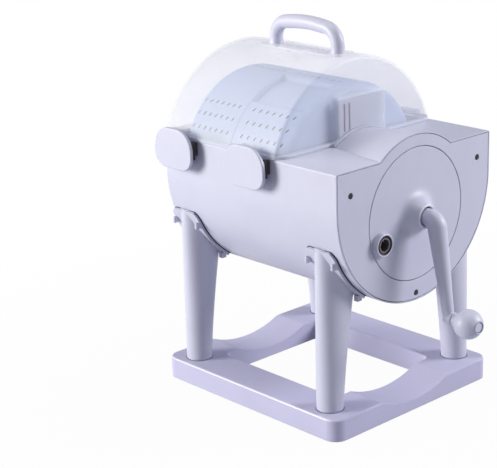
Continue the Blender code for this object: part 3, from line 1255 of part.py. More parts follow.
def lid_shell():
    """The clear lid: a dome with a rim, and a square bulge over the gear case's hump."""
    low = DECK_Z + SEAT
    lid = dome("lid_shell", 0)
    half_y = TUB_RADIUS + RIM_OVERHANG
    half_x = (RIM_RIGHT - TUB_LEFT + RIM_OVERHANG) / 2
    middle = (RIM_RIGHT + TUB_LEFT - RIM_OVERHANG) / 2
    rim = rounded_rectangle(half_x, half_y, RIM_CORNER, 4, (middle, 0))
    join(lid, prism("lid_rim", rim, low - 0.02, low + RIM_HEIGHT, "Z"))
    start = LID_RIGHT - BULGE_ROOT
    join(lid, box("bulge", (start, -BULGE_HALF, low - 0.02), (BULGE_RIGHT, BULGE_HALF, BULGE_TOP), BULGE_EDGE))
    over = hump_cone("rim_over_hump", RIM_HEIGHT, start, RIM_RIGHT)
    join(lid, over)
    skirt = hump_cone("bulge_rim", RIM_HEIGHT, start, BULGE_RIGHT + 0.003)
    cut(skirt, box("skirt_front", (-0.1, -0.3, 0), (0.3, -BULGE_HALF - 0.003, 0.6)))
    cut(skirt, box("skirt_rear", (-0.1, BULGE_HALF + 0.003, 0), (0.3, 0.3, 0.6)))
    join(lid, skirt)
    for x in LATCH_X:
        for side in (-1, 1):
            join(lid, latch_ear(x + side * (BARREL_HALF + RUNNING + EAR_THICKNESS / 2)))
    cut(lid, dome("dome_space", LID_WALL))
    inset = LID_WALL
    space = box(
        "bulge_space",
        (start + 0.004, -BULGE_HALF + inset, low - 0.03),
        (BULGE_RIGHT - inset, BULGE_HALF - inset, BULGE_TOP - inset),
        BULGE_EDGE - inset,
    )
    cut(lid, space)
    cut(lid, hump_cone("hump_clearance", SEAT, start - 0.01, BULGE_RIGHT + 0.02))
    cut(lid, clip_box("deck_plane", low))
    for x in HINGE_X:
        join(lid, lid_knuckle(x))
    cut(lid, rod("hinge_hole", -0.2, 0.1, PIN_RADIUS + SEAT, HINGE_Y, HINGE_Z, 8))
    cut(lid, rod("latch_hole", -0.2, 0.1, PIN_RADIUS + SEAT, LATCH_PIVOT_Y, LATCH_PIVOT_Z, 8))
    for x in handle_screw_places():
        cut(lid, peg("handle_hole", LID_TOP - 0.01, HANDLE_TOP, SCREW_RADIUS + SEAT, x, 0, 8))
    part(lid, "lid_shell", "clear", LID_AXIS)


def latch_ear(x):
    """An ear on the lid's front that carries one end of a latch pin."""
    outline = arc((LATCH_PIVOT_Y, LATCH_PIVOT_Z), BARREL_RADIUS, 90, 270, 6)
    outline += [(-TUB_RADIUS + 0.001, DECK_Z + SEAT + 0.0005), (-TUB_RADIUS + 0.005, DECK_Z + 0.0115)]
    return prism("latch_ear", outline, x - EAR_THICKNESS / 2, x + EAR_THICKNESS / 2)


def lid_knuckle(x):
    """The lid's half of a hinge: a barrel with an arm to the rim."""
    barrel = arc((HINGE_Y, HINGE_Z), HINGE_RADIUS, -90, 90, 6)
    low = DECK_Z + 2 * SEAT
    outline = barrel + [(TUB_RADIUS, DECK_Z + RIM_HEIGHT), (TUB_RADIUS, low), (HINGE_Y - HINGE_RADIUS, low)]
    return prism("knuckle", outline, x - HINGE_HALF, x + HINGE_HALF)


def handle_screw_places():
    span = HANDLE_LENGTH / 2 - HANDLE_RADIUS
    return (HANDLE_X - span, HANDLE_X + span)


def lid_handle():
    """A bow handle on a shallow pad, screwed on from inside the lid."""
    span = HANDLE_LENGTH / 2 - HANDLE_RADIUS
    top = HANDLE_TOP - HANDLE_RADIUS
    side = top - HANDLE_ARCH - HANDLE_CORNER
    foot = LID_TOP - 0.004
    points = [(HANDLE_X - span, foot, HANDLE_RADIUS + HANDLE_FOOT_FLARE), (HANDLE_X - span, foot + 0.010, HANDLE_RADIUS)]
    for x, z in arc((HANDLE_X - span + HANDLE_CORNER, side), HANDLE_CORNER, 180, 90, 5):
        points.append((x, z, HANDLE_RADIUS))
    half_bar = span - HANDLE_CORNER
    for share in (0.67, 0.33, 0.08):
        points.append((HANDLE_X - half_bar * share, top - HANDLE_ARCH * share**2, HANDLE_RADIUS))
    mirrored = [(2 * HANDLE_X - x, z, radius) for x, z, radius in reversed(points)]
    curve = bpy.data.curves.new("lid_handle", "CURVE")
    curve.dimensions = "3D"
    curve.bevel_depth = 1.0
    curve.bevel_resolution = 2
    curve.use_fill_caps = True
    spline = curve.splines.new("POLY")
    route = points + mirrored
    spline.points.add(len(route) - 1)
    for point, (x, z, radius) in zip(spline.points, route):
        point.co = (x, 0, z, 1)
        point.radius = radius
    handle = mesh_of_curve("lid_handle", curve)
    half_x, half_y = PAD_LENGTH / 2, PAD_WIDTH / 2
    pad = rounded_rectangle(half_x, half_y, half_y - 0.002, 4, (HANDLE_X, 0))
    top_z = LID_TOP + PAD_HEIGHT
    join(handle, prism("handle_pad", pad, LID_TOP - 0.006, top_z, "Z", 0.0010))
    cut(handle, rod("dome_seat", LID_LEFT, LID_RIGHT + 0.05, LID_RADIUS + SEAT, 0, LID_AXIS_Z, 176))
    for x in handle_screw_places():
        low = LID_TOP - 0.03
        cut(handle, peg("handle_pilot", low, low + 0.046, SCREW_RADIUS + SEAT, x, 0, 8))
    part(handle, "lid_handle", "body", LID_AXIS)
    under = LID_TOP - LID_WALL - SEAT
    for name, x in zip(("left", "right"), handle_screw_places()):
        screw = peg("handle_screw", under - 0.0018, under, SCREW_HEAD, x, 0, 10)
        join(screw, peg("handle_shank", under - 0.001, under + 0.015, SCREW_RADIUS, x, 0, 8))
        part(screw, "handle_screw_" + name, "steel", LID_AXIS)


def latch_outline(x):
    """The pebble shape of a latch plate, rounder at the top than at the bottom."""
    half = LATCH_WIDTH / 2
    low_corner, high_corner = 0.019, 0.027
    points = arc((x + half - high_corner, LATCH_TOP - high_corner), high_corner, 0, 90, 5)
    points += arc((x - half + high_corner, LATCH_TOP - high_corner), high_corner, 90, 180, 5)
    points += arc((x - half + low_corner, LATCH_BOTTOM + low_corner), low_corner, 180, 270, 4)
    points += arc((x + half - low_corner, LATCH_BOTTOM + low_corner), low_corner, 270, 360, 4)
    return points


def latches():
    for side, x in zip(("left", "right"), LATCH_X):
        back = LATCH_FACE_Y + LATCH_THICKNESS
        latch = prism("latch", latch_outline(x), back, LATCH_FACE_Y, "Y", 0.0012)
        barrel = rod("barrel", x - BARREL_HALF, x + BARREL_HALF, BARREL_RADIUS, LATCH_PIVOT_Y, LATCH_PIVOT_Z, 12)
        join(latch, barrel)
        arm_low = (x - BARREL_HALF, back - 0.001, LATCH_PIVOT_Z - 0.0028)
        join(latch, box("latch_arm", arm_low, (x + BARREL_HALF, LATCH_PIVOT_Y, LATCH_PIVOT_Z + 0.0012)))
        join(latch, latch_hook(x, back))
        for rib_side in (-1, 1):
            rib_x = x + rib_side * (HOOK_HALF + 0.008)
            outline = [(back - 0.001, LATCH_BOTTOM + 0.008), (back - 0.001, LATCH_PIVOT_Z - 0.006)]
            outline += [(back + 0.0035, LATCH_PIVOT_Z - 0.012), (back + 0.0055, LATCH_BOTTOM + 0.016)]
            join(latch, prism("latch_rib", outline, rib_x - 0.00125, rib_x + 0.00125))
        hole = PIN_RADIUS + SEAT
        cut(latch, rod("pin_hole", x - 0.03, x + 0.03, hole, LATCH_PIVOT_Y, LATCH_PIVOT_Z, 8))
        part(latch, "latch_" + side, "body", LATCH_AXIS)
        half = BARREL_HALF + RUNNING + EAR_THICKNESS
        pin = rod("latch_pin", x - half, x + half, PIN_RADIUS, LATCH_PIVOT_Y, LATCH_PIVOT_Z, 8)
        part(pin, "latch_pin_" + side, "steel", LID_AXIS)


def latch_hook(x, back):
    """The tooth that catches under the keeper."""
    top = KEEPER_BOTTOM - SEAT
    tip = -TUB_RADIUS - 0.003
    outline = [(back - 0.001, top - HOOK_HEIGHT - 0.003), (back - 0.001, top), (tip, top), (tip, top - 0.002)]
    return prism("latch_hook", outline, x - HOOK_HALF, x + HOOK_HALF)


def drain_plug():
    """The push in plug of the drain spout on the idle end."""
    mouth = TUB_LEFT - DRAIN_LENGTH
    profile = [(TUB_LEFT + 0.0015, 0), (TUB_LEFT + 0.0015, DRAIN_BORE - 0.0012), (TUB_LEFT - 0.001, DRAIN_BORE)]
    profile += [(mouth - SEAT, DRAIN_BORE), (mouth - SEAT, DRAIN_CAP_RADIUS)]
    profile += [(mouth - SEAT - DRAIN_CAP_THICKNESS, DRAIN_CAP_RADIUS - 0.0008)]
    profile += [(mouth - SEAT - DRAIN_CAP_THICKNESS, 0)]
    part(turned("drain_plug", profile, 0, DRAIN_Z, 16), "drain_plug", "rubber")


def main():
    base_frame()
    feet_and_screws()
    legs()
    tub_shell()
    hinge_pins()
    drive_end_panel()
    gear_cover()
    crank_train()
    low_pinion()
    gear_bracket()
    drum_drive()
    idle_end()
    drum()
    drum_door()
    lifters()
    crank_arm()
    crank_knob()
    lid_shell()
    lid_handle()
    latches()
    drain_plug()


main()
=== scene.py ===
"""The washing machine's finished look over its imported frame, in metres, with the photograph's view.

Helper shapes are made in the machine's own frame, where X runs along the drum's axis from its
middle, and are moved by SHIFT when they become pieces.
"""

import json
from math import acos, atan2, cos, degrees, hypot, pi, radians, sin, sqrt

import bmesh
import bpy
from mathutils import Matrix, Vector

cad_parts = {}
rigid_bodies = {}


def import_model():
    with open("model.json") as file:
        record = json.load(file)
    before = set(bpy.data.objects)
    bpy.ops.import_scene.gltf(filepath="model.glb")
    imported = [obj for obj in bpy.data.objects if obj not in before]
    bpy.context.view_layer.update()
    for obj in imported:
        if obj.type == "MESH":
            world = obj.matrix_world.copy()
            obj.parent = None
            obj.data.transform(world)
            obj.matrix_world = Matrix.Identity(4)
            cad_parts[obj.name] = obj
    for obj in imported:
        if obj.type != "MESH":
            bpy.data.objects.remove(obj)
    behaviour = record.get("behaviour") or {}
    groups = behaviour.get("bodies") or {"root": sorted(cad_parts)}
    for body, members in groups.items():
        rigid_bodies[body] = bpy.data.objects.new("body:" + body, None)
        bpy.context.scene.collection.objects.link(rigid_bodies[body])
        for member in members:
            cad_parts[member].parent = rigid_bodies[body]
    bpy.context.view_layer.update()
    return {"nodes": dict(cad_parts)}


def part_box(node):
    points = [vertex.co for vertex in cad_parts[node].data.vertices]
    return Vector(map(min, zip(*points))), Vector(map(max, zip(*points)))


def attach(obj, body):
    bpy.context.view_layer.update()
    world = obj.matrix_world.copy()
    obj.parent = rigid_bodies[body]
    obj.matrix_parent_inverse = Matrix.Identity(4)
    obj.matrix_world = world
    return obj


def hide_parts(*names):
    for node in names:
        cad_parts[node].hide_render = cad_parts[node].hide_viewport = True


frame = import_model()

TAU = 2 * pi
SCENE = bpy.context.scene

# Clearances
SEAT = 0.0003
RUNNING = 0.0004

# Joining and cutting: how far joined solids reach into each other, how far a cutter reaches
# past what it cuts, a distance outside the whole machine, and the common softened edge
OVERLAP = 0.001
PAST = 0.01
OUTSIDE = 0.3
FINE_EDGE = 0.0006

# Base frame
BASE_LENGTH = 0.320
BASE_TOP = 0.030
BASE_CORNER = 0.018
BASE_WALL = 0.003
SIDE_BAR = 0.056
FRONT_BAR = 0.057
WINDOW_CORNER = 0.010
SCOOP_RADIUS = 0.150
SCOOP_FLOOR = 0.0155
BOSS_HALF = 0.020
POCKETS_PER_BAR = 2

# Feet
FOOT_RADIUS = 0.012
FOOT_HEIGHT = 0.004
FOOT_PROUD = 0.0015

# Legs
LEG_X = 0.123
LEG_INSET = 0.0215
BASE_BEYOND_LEG = 0.028
LEG_RADIUS = 0.017
LEG_WALL = 0.003
LEG_TOP_HALF_X = 0.0195
LEG_TOP_HALF_Y = 0.034
LEG_FLARE_POWER = 1.35
LEG_FLOOR = 0.020
SPIGOT_RADIUS = 0.013
SPIGOT_LENGTH = 0.014
SADDLE_THICKNESS = 0.004
SADDLE_HALF_WIDTH = 0.0245
SADDLE_TOP_ANGLE = 20.5
SADDLE_LOW_ANGLE = 56.0
CLIP_SIZE = 0.008
LEG_SCREW_RADIUS = 0.0022
LEG_SCREW_HEAD = 0.005
LEG_SCREW_HEAD_HEIGHT = 0.003

# Tub
DRUM_AXIS_Z = 0.289
TUB_WALL = 0.003
TUB_LEFT = -0.148
TUB_RIGHT = 0.160
DECK_RISE = 0.051
BULKHEAD_GAP = 0.0028
BULKHEAD = 0.0035
HUMP_RADIUS_OUT = 0.1015
HUMP_RADIUS_IN = 0.093

# Gear train
MODULE = 0.0025
RING_TEETH = 44
DRUM_PINION_TEETH = 22
LOW_PINION_TEETH = 11
LOW_SOCKET_ANGLE = 200.0
BEARING_LENGTH = 0.0105
PINION_GAP = 0.001

# End panel and gear cover
PANEL = 0.003
COVER_MARGIN = 0.028
COVER_LEDGE = 0.005
FLARE_RADIUS = 0.040
FLARE_HEIGHT = 0.0185
MOUTH_RADIUS = 0.0150
MOUTH_WALL = 0.0022
LOW_BOSS_FLARE = 0.01495
LOW_BOSS_HEIGHT = 0.008
BOSS_WALL = 0.0024
PANEL_SCREW_INSET = 0.024
PANEL_SCREW_DROP = 0.0305
PANEL_SCREW_RISE = 0.0095
SCREW_RADIUS = 0.0018
SCREW_HEAD = 0.0036
HEAD_SINK = 0.0022

# Crank
SOCKET_RADIUS = 0.0075
SPLINE_DEPTH = 0.0010
SPLINES = 8
SLEEVE_WALL = 0.0022
SLEEVE_PROUD = 0.010
BUSH_WALL = 0.0020
BUSH_REACH = 0.004
PLUG_LENGTH = 0.028
STUB_RADIUS = 0.0105
CRANK_THROW = 0.123
ARM_REACH = 0.0235
ARM_LEAN = 0.0195
ARM_TOP_RADIUS = 0.0120
ARM_LOW_RADIUS = 0.0070
ARM_BEND = 0.011
ARM_STUB = 0.003
KNOB_RADIUS = 0.0185
KNOB_NECK = 0.009
KNOB_STANDOFF = 0.009
KNOB_FOOT = 0.003
KNOB_FOOT_SHARE = 0.87
KNOB_GAP = 0.0006
KNOB_FLAT = 0.115
KNOB_RECESS = 0.0035
SPINDLE_RADIUS = 0.003
SPINDLE_HEAD = 0.006

# Drum
DRUM_END_GAP = 0.008
DRUM_RIGHT = 0.0552
DRUM_SEAM = -0.052
DRUM_RADIUS = 0.114
DRUM_CLEARANCE = 0.0225
DRUM_WALL = 0.0024
PAD_LIFT = 0.007
PAD_COUNT = 6
PAD_FIRST = 38.0
PAD_HALF_ANGLE = 14.0
PAD_SLOPE = 3.0
SHOULDER = 0.012
HOLE_ROWS = (-9.0, 0.0, 9.0)
HOLES_PER_ROW = 7
HOLE_PITCH_RIGHT = 0.0120
HOLE_PITCH_LEFT = 0.0107
HOLE_START_RIGHT = 0.0150
SHAFT_RADIUS = 0.007
IDLE_RADIUS = 0.005

# Drum door
DOOR_ANGLE = 218.0
DOOR_HALF_ANGLE = 34.0
DOOR_LAP_ANGLE = 3.0
DOOR_LAP = 0.003
DOOR_LEFT = -0.040
DOOR_RIGHT = 0.0335

# Lid
LID_AXIS_RISE = 0.0085
LID_SPREAD = 0.001199
LID_WALL = 0.0025
LID_PAST_BULKHEAD = 0.002
LID_EDGE = 0.006
RIM_HEIGHT = 0.004
RIM_OVERHANG = 0.0018
RIM_REACH = 0.007
RIM_CORNER = 0.020
BULGE_ROOT = 0.018
BULGE_HALF = 0.048
BULGE_RISE = 0.064
BULGE_EDGE = 0.009

# Handle
HANDLE_X = -0.025
HANDLE_LENGTH = 0.128
HANDLE_RISE = 0.0425
HANDLE_RADIUS = 0.0088
HANDLE_CORNER = 0.022
HANDLE_ARCH = 0.0025
HANDLE_FOOT_FLARE = 0.0025
PAD_MARGIN = 0.011
PAD_WIDTH = 0.040
PAD_HEIGHT = 0.0012

# Latches
LATCH_X = (-0.1145, 0.018)
LATCH_WIDTH = 0.071
LATCH_RISE = 0.0145
LATCH_DROP = 0.0385
LATCH_PROUD = 0.016
LATCH_THICKNESS = 0.004
LATCH_TOP_CORNER = 0.027
LATCH_LOW_CORNER = 0.019
LATCH_EDGE = 0.0018
LATCH_PIVOT_REACH = 0.0075
LATCH_PIVOT_RISE = 0.0085
BARREL_RADIUS = 0.0033
BARREL_HALF = 0.012
EAR_THICKNESS = 0.004
PIN_RADIUS = 0.0014
KEEPER_DROP = 0.028
KEEPER_HEIGHT = 0.006
KEEPER_REACH = 0.0068
KEEPER_HALF = 0.011
KEEPER_LIP = 0.002
KEEPER_SLOPE = 0.004
HOOK_HALF = 0.013
HOOK_HEIGHT = 0.006
HOOK_SLOPE = 0.003
HOOK_LIP = 0.002
HOOK_TIP_GAP = 0.003

# Lid hinges
HINGE_X = (-0.110, 0.020)
HINGE_REACH = 0.008
HINGE_RISE = 0.003
HINGE_RADIUS = 0.0042
HINGE_HALF = 0.010
HINGE_EAR = 0.004
HINGE_EAR_DROP = 0.002
HINGE_EAR_HEIGHT = 0.012
HINGE_EAR_GAP = 0.0006

# Drain
DRAIN_RISE = 0.0145
DRAIN_BORE = 0.0075
DRAIN_RADIUS = 0.0110
DRAIN_LENGTH = 0.0075

# Sizes that follow from the ones above
AXIS_DROP = MODULE * (RING_TEETH - DRUM_PINION_TEETH) / 2
CRANK_AXIS_Z = DRUM_AXIS_Z - AXIS_DROP
LOW_CENTRES = MODULE * (RING_TEETH + LOW_PINION_TEETH) / 2
COVER_RADIUS = LOW_CENTRES + LOW_BOSS_FLARE + SEAT
TUB_RADIUS = max(DRUM_RADIUS + DRUM_CLEARANCE + TUB_WALL, COVER_RADIUS + AXIS_DROP + COVER_MARGIN)
TUB_BOTTOM = DRUM_AXIS_Z - TUB_RADIUS
TUB_SEAT = TUB_RADIUS + SEAT
LEG_Y = TUB_RADIUS - LEG_INSET
BASE_WIDTH = 2 * (LEG_Y + BASE_BEYOND_LEG)
DECK_Z = DRUM_AXIS_Z + DECK_RISE
DRUM_LEFT = TUB_LEFT + DRUM_END_GAP
BULKHEAD_X = DRUM_RIGHT + BULKHEAD_GAP
LID_AXIS_Z = DRUM_AXIS_Z + LID_AXIS_RISE
LID_RADIUS = hypot(TUB_RADIUS + LID_SPREAD, DECK_Z - LID_AXIS_Z)
LID_TOP = LID_AXIS_Z + LID_RADIUS
LID_LEFT = TUB_LEFT
LID_RIGHT = BULKHEAD_X + LID_PAST_BULKHEAD
RIM_RIGHT = LID_RIGHT + RIM_REACH
HUMP_START_X = RIM_RIGHT
BULGE_TOP = DECK_Z + BULGE_RISE
HANDLE_TOP = LID_TOP + HANDLE_RISE
HANDLE_SPAN = HANDLE_LENGTH / 2 - HANDLE_RADIUS
HANDLE_SCREW_X = (HANDLE_X - HANDLE_SPAN, HANDLE_X + HANDLE_SPAN)
PAD_LENGTH = HANDLE_LENGTH + 2 * PAD_MARGIN
PANEL_SCREW_Y = TUB_RADIUS - PANEL_SCREW_INSET
PANEL_SCREW_Z = DECK_Z - PANEL_SCREW_DROP
LATCH_TOP = DECK_Z + LATCH_RISE
LATCH_BOTTOM = DECK_Z - LATCH_DROP
LATCH_FACE_Y = -TUB_RADIUS - LATCH_PROUD
LATCH_PIVOT_Y = -TUB_RADIUS - LATCH_PIVOT_REACH
LATCH_PIVOT_Z = DECK_Z + LATCH_PIVOT_RISE
KEEPER_BOTTOM = DECK_Z - KEEPER_DROP
HINGE_Y = TUB_RADIUS + HINGE_REACH
HINGE_Z = DECK_Z + HINGE_RISE
DRAIN_Z = TUB_BOTTOM + DRAIN_RISE
LOW_Y = LOW_CENTRES * cos(radians(LOW_SOCKET_ANGLE))
LOW_Z = CRANK_AXIS_Z + LOW_CENTRES * sin(radians(LOW_SOCKET_ANGLE))
TUB_INNER = TUB_RADIUS - TUB_WALL
BULKHEAD_RIGHT = BULKHEAD_X + BULKHEAD
PANEL_LEFT = TUB_RIGHT - PANEL
COVER_BACK = PANEL_LEFT - SEAT
DRUM_PINION_X = BULKHEAD_RIGHT + BEARING_LENGTH - BULKHEAD + PINION_GAP
SLEEVE_RADIUS = SOCKET_RADIUS + SLEEVE_WALL
SLEEVE_END = TUB_RIGHT + SLEEVE_PROUD
ARM_START = SLEEVE_END + ARM_STUB
ARM_TOP_X = SLEEVE_END + ARM_REACH
ARM_LOW_X = ARM_TOP_X + ARM_LEAN
BUSH_RADIUS = SLEEVE_RADIUS + RUNNING + BUSH_WALL
CRANK_END_Z = CRANK_AXIS_Z - CRANK_THROW
KNOB_LEFT = ARM_LOW_X + KNOB_STANDOFF
KNOB_CENTRE = KNOB_LEFT + KNOB_FOOT + KNOB_RADIUS
KNOB_FACE = KNOB_CENTRE + KNOB_RADIUS * cos(pi * KNOB_FLAT)
PAD_PITCH = 360 / PAD_COUNT
PAD_MIDDLES = [PAD_FIRST + i * PAD_PITCH for i in range(PAD_COUNT)]
WIDEST_FACET = (PAD_PITCH - 2 * (PAD_HALF_ANGLE + PAD_SLOPE)) / 2
INSIDE_DRUM = (DRUM_RADIUS - DRUM_WALL) * cos(radians(WIDEST_FACET / 2))

# Lines along X that parts are turned about, as (y, z)
DRUM_AXIS = (0, DRUM_AXIS_Z)
CRANK_AXIS = (0, CRANK_AXIS_Z)
KNOB_AXIS = (0, CRANK_END_Z)
LOW_AXIS = (LOW_Y, LOW_Z)
LID_AXIS = (0, LID_AXIS_Z)
HINGE_AXIS = (HINGE_Y, HINGE_Z)
LATCH_AXIS = (LATCH_PIVOT_Y, LATCH_PIVOT_Z)
DRAIN_AXIS = (0, DRAIN_Z)

# Finer counts
BELLY_STEPS = 128
HUMP_STEPS = 160
COVER_STEPS = 160
DOME_STEPS = 192
TUBE_SIDES = 14

# Small details of the tub, its seams and the end panel
TUB_EDGE = 0.0022
END_RIM = 0.0014
HUMP_ROOT = 0.0055
PANEL_RECESS = 0.004
DRIVE_BOSS_WALL = 0.0085
IDLE_BOSS_WALL = 0.0075
IDLE_GAP = 0.0015
SEAM_WIDTH = 0.0008
SEAM_DEPTH = 0.0014
SEAM_GAP = 0.00005
PANEL_SEAM_BACK = 0.0032
COVER_SEAM_BACK = 0.0028
PANEL_EDGE = 0.0005
COVER_WAY_EDGE = 0.0004
SCREW_WAY_EDGE = 0.0003

# Small details of the legs and the base
LEG_SEAM = 0.0010
LEG_SEAM_DEPTH = 0.0012
SADDLE_CORNER = 0.013
SADDLE_SEAM = 0.0013
SADDLE_SEAM_RISE = 0.0009
SADDLE_TRIM = 0.001
SHOULDER_CUT = (0.07, 0.17)
LEG_TRIM = (0.06, 0.09, 0.08)
RIB_THICKNESS = 0.0046
RIB_DEPTH = 0.014
RIB_DROP = 0.012
RIB_HEIGHT = 0.009
RIB_EDGE = 0.0017
POCKET_EDGE = 0.0015
WINDOW_EDGE = 0.003
BASE_FINE_EDGE = 0.0026
# Slopes of the base's front edge faces that get the painted highlight
HIGHLIGHT_SLOPES = (0.35, 0.92)
GROOVE_INSET = 0.0065
GROOVE_HALF = 0.0005

# Small details of the drum
HOLE_SLANT = 0.0012
HOLE_INSIDE = 0.006
HOLE_OUTSIDE = 0.004
HALF_EDGE = 0.0010
DRUM_LIP_DROP = 0.0012
FLANGE_RAMP = (0.007, 0.001)
HOLE_FINE_WIDTH = 0.0036
HOLE_FINE_LENGTH = 0.0058

# Small details of the cover's mouth and of the second socket
FLARE_POWER = 3.6
BEAD_RADIUS = 0.0016
BEAD_INSET = 0.0012
SLEEVE_GAP = 0.001
BOSS_ROOT = 0.008
LOW_LIP_RADIUS = 0.0148
LOW_LIP_WALL = 0.0026
LOW_LIP_EDGE = 0.0014
LOW_FOOT_ROUND = 0.0030
LOW_MOUTH_EDGE = 0.0005
LOW_MOUTH_DEPTH = 0.0055

# Small details of the latches, the lid and its handle
# Sizes of the near-black block of painted shade behind each latch plate
SHADE_BLOCK_INSET = 0.0032
SHADE_BLOCK_WIDTH = 0.007
SHADE_BLOCK_GAP = 0.0014
SHADE_BLOCK_STEP = (0.004, 0.005)
SHADE_BLOCK_DROP = 0.022
LATCH_RIB_HALF = 0.00125
BULGE_RIBS = (-0.0305, -0.0217)
BULGE_RIB_HALF = 0.0013
BULGE_RIB_SPAN = (0.25, 0.80)
BULGE_FINE_REACH = 0.010
SKIRT_REACH = 0.003
RIM_EDGE = 0.0012
RIM_DEPTH = 0.02
RIM_MARGIN = 0.0008
HANDLE_ROOT = 0.004
HANDLE_PAD_ROOT = 0.006
HANDLE_PAD_EDGE = 0.0010
HANDLE_SWELL = 0.0002
PIN_SPAN = (-0.2, 0.1)

# Camera, light and colours
CAMERA_PLACE = (1.34468527, -1.35144529, 0.81597819)
CAMERA_TARGET = (-0.06625395, -0.0731276, 0.20471708)
CAMERA_ROLL = -1.9239
CAMERA_LENS = 110.62
CAMERA_SENSOR = 36.0
WORLD_LIGHT = 0.24
WORLD_COLOUR = (0.88, 0.91, 1.0)
KEY_POWER = 97.0
KEY_COLOUR = (1.0, 0.99, 0.93)
KEY_RISE = 14.0
FILL_POWER = 74.0
TOP_POWER = 26.0
LAMP_DISTANCE = 3.0
LAMP_RISE = 25.0
LAMP_TARGET = 0.2
KEY_SIDE = -125.0
FILL_SIDE = 48.0
FLOOR_WHITE = 0.97
FLOOR_COLOUR = (0.42, 0.43, 0.51)
FLOOR_FADE = (0.25, 0.9)
FLOOR_REACH = 12.0
BODY_COLOUR = (0.56, 0.563, 0.69)
LOW_COLOUR = (0.53, 0.52, 0.70)

SIDES = ("left", "right")
CORNERS = {
    "front_left": (-1, -1),
    "front_right": (1, -1),
    "rear_left": (-1, 1),
    "rear_right": (1, 1),
}
PANEL_SCREWS = (
    (-PANEL_SCREW_Y, PANEL_SCREW_Z),
    (PANEL_SCREW_Y, PANEL_SCREW_Z),
    (0.0, TUB_BOTTOM + PANEL_SCREW_RISE),
)

HELPERS = bpy.data.collections.new("helpers")
SCENE.collection.children.link(HELPERS)


def spaced(first, last, steps):
    """Evenly spaced values from first to last, both included."""
    return [first + (last - first) * i / steps for i in range(steps + 1)]


def arc(centre, radius, first, last, steps):
    """Points on an arc, angles in degrees, both ends included."""
    angles = [radians(angle) for angle in spaced(first, last, steps)]
    return [(centre[0] + radius * cos(a), centre[1] + radius * sin(a)) for a in angles]


def rounded_rectangle(half_x, half_y, corner, steps, centre=(0.0, 0.0)):
    points = []
    for quarter, (sx, sy) in enumerate(((1, 1), (-1, 1), (-1, -1), (1, -1))):
        middle = (centre[0] + sx * (half_x - corner), centre[1] + sy * (half_y - corner))
        points += arc(middle, corner, 90 * quarter, 90 * quarter + 90, steps)
    return points


def polar(radius, angle):
    """A point about the drum's axis, with angles measured from the front upwards."""
    return -radius * cos(radians(angle)), DRUM_AXIS_Z + radius * sin(radians(angle))


def new_object(name, data, collection=SCENE.collection):
    obj = bpy.data.objects.new(name, data)
    collection.objects.link(obj)
    return obj


def shape(name, bm):
    """A helper solid from a bmesh, used up by piece() or by a cut."""
    bmesh.ops.recalc_face_normals(bm, faces=bm.faces)
    mesh = bpy.data.meshes.new(name)
    bm.to_mesh(mesh)
    bm.free()
    return new_object(name, mesh, HELPERS)


def combine(obj, other, operation):
    modifier = obj.modifiers.new(other.name, "BOOLEAN")
    modifier.operation = operation
    modifier.object = other
    modifier.solver = "MANIFOLD"


def cut(obj, tool):
    combine(obj, tool, "DIFFERENCE")


def join(obj, other):
    combine(obj, other, "UNION")


def round_edges(bm, edges, edge, segments):
    if edge:
        bmesh.ops.bevel(bm, geom=edges, offset=edge, segments=segments, affect="EDGES", profile=0.5)


def box(name, low, high, edge=0.0, segments=2):
    """A block between two corners, its edges rounded by edge."""
    bm = bmesh.new()
    bmesh.ops.create_cube(bm, size=1.0)
    bmesh.ops.scale(bm, vec=[b - a for a, b in zip(low, high)], verts=bm.verts)
    round_edges(bm, bm.edges[:], edge, segments)
    bmesh.ops.translate(bm, vec=[(a + b) / 2 for a, b in zip(low, high)], verts=bm.verts)
    return shape(name, bm)


def prism(name, outline, start, end, across="X", edge=0.0, segments=2):
    """An outline in the plane across an axis, drawn out from start to end along that axis."""
    place = {
        "X": lambda a, b, along: (along, a, b),
        "Y": lambda a, b, along: (a, along, b),
        "Z": lambda a, b, along: (a, b, along),
    }[across]
    bm = bmesh.new()
    face = bm.faces.new([bm.verts.new(place(a, b, start)) for a, b in outline])
    drawn = bmesh.ops.extrude_face_region(bm, geom=[face])["geom"]
    moved = [item for item in drawn if isinstance(item, bmesh.types.BMVert)]
    bmesh.ops.translate(bm, vec=Vector(place(0, 0, end - start)), verts=moved)
    rim = [e for e in bm.edges if all(v in moved for v in e.verts)]
    round_edges(bm, rim, edge, segments)
    return shape(name, bm)


def slab(name, outline, x, half):
    """A prism along X with its middle at x and half its length to either side."""
    return prism(name, outline, x - half, x + half)


def turned(name, profile, axis, steps, ring=False):
    """Points (x, radius) turned about a line along X through axis; a ring's profile is closed."""
    bm = bmesh.new()
    verts = [bm.verts.new((x, 0, radius)) for x, radius in profile]
    pairs = list(zip(verts, verts[1:]))
    if ring:
        pairs.append((verts[-1], verts[0]))
    edges = [bm.edges.new(pair) for pair in pairs]
    bmesh.ops.spin(bm, geom=verts + edges, axis=(1, 0, 0), angle=TAU, steps=steps, use_merge=True)
    bmesh.ops.remove_doubles(bm, verts=bm.verts, dist=1e-6)
    bmesh.ops.translate(bm, vec=(0, *axis), verts=bm.verts)
    return shape(name, bm)


def rod(name, start, end, radius, axis, steps, end_radius=None):
    """A round bar or cone along X."""
    last = radius if end_radius is None else end_radius
    return turned(name, [(start, 0), (start, radius), (end, last), (end, 0)], axis, steps)


def drill(obj, start, end, radius, axis, steps):
    """A round hole along X that reaches past both of its ends."""
    cut(obj, rod("hole", start - PAST, end + PAST, radius, axis, steps))


def peg(name, low, high, radius, x, y, steps):
    """A round bar standing along Z."""
    bm = bmesh.new()
    bmesh.ops.create_cone(
        bm, cap_ends=True, segments=steps, radius1=radius, radius2=radius, depth=high - low
    )
    bmesh.ops.translate(bm, vec=(x, y, (low + high) / 2), verts=bm.verts)
    return shape(name, bm)


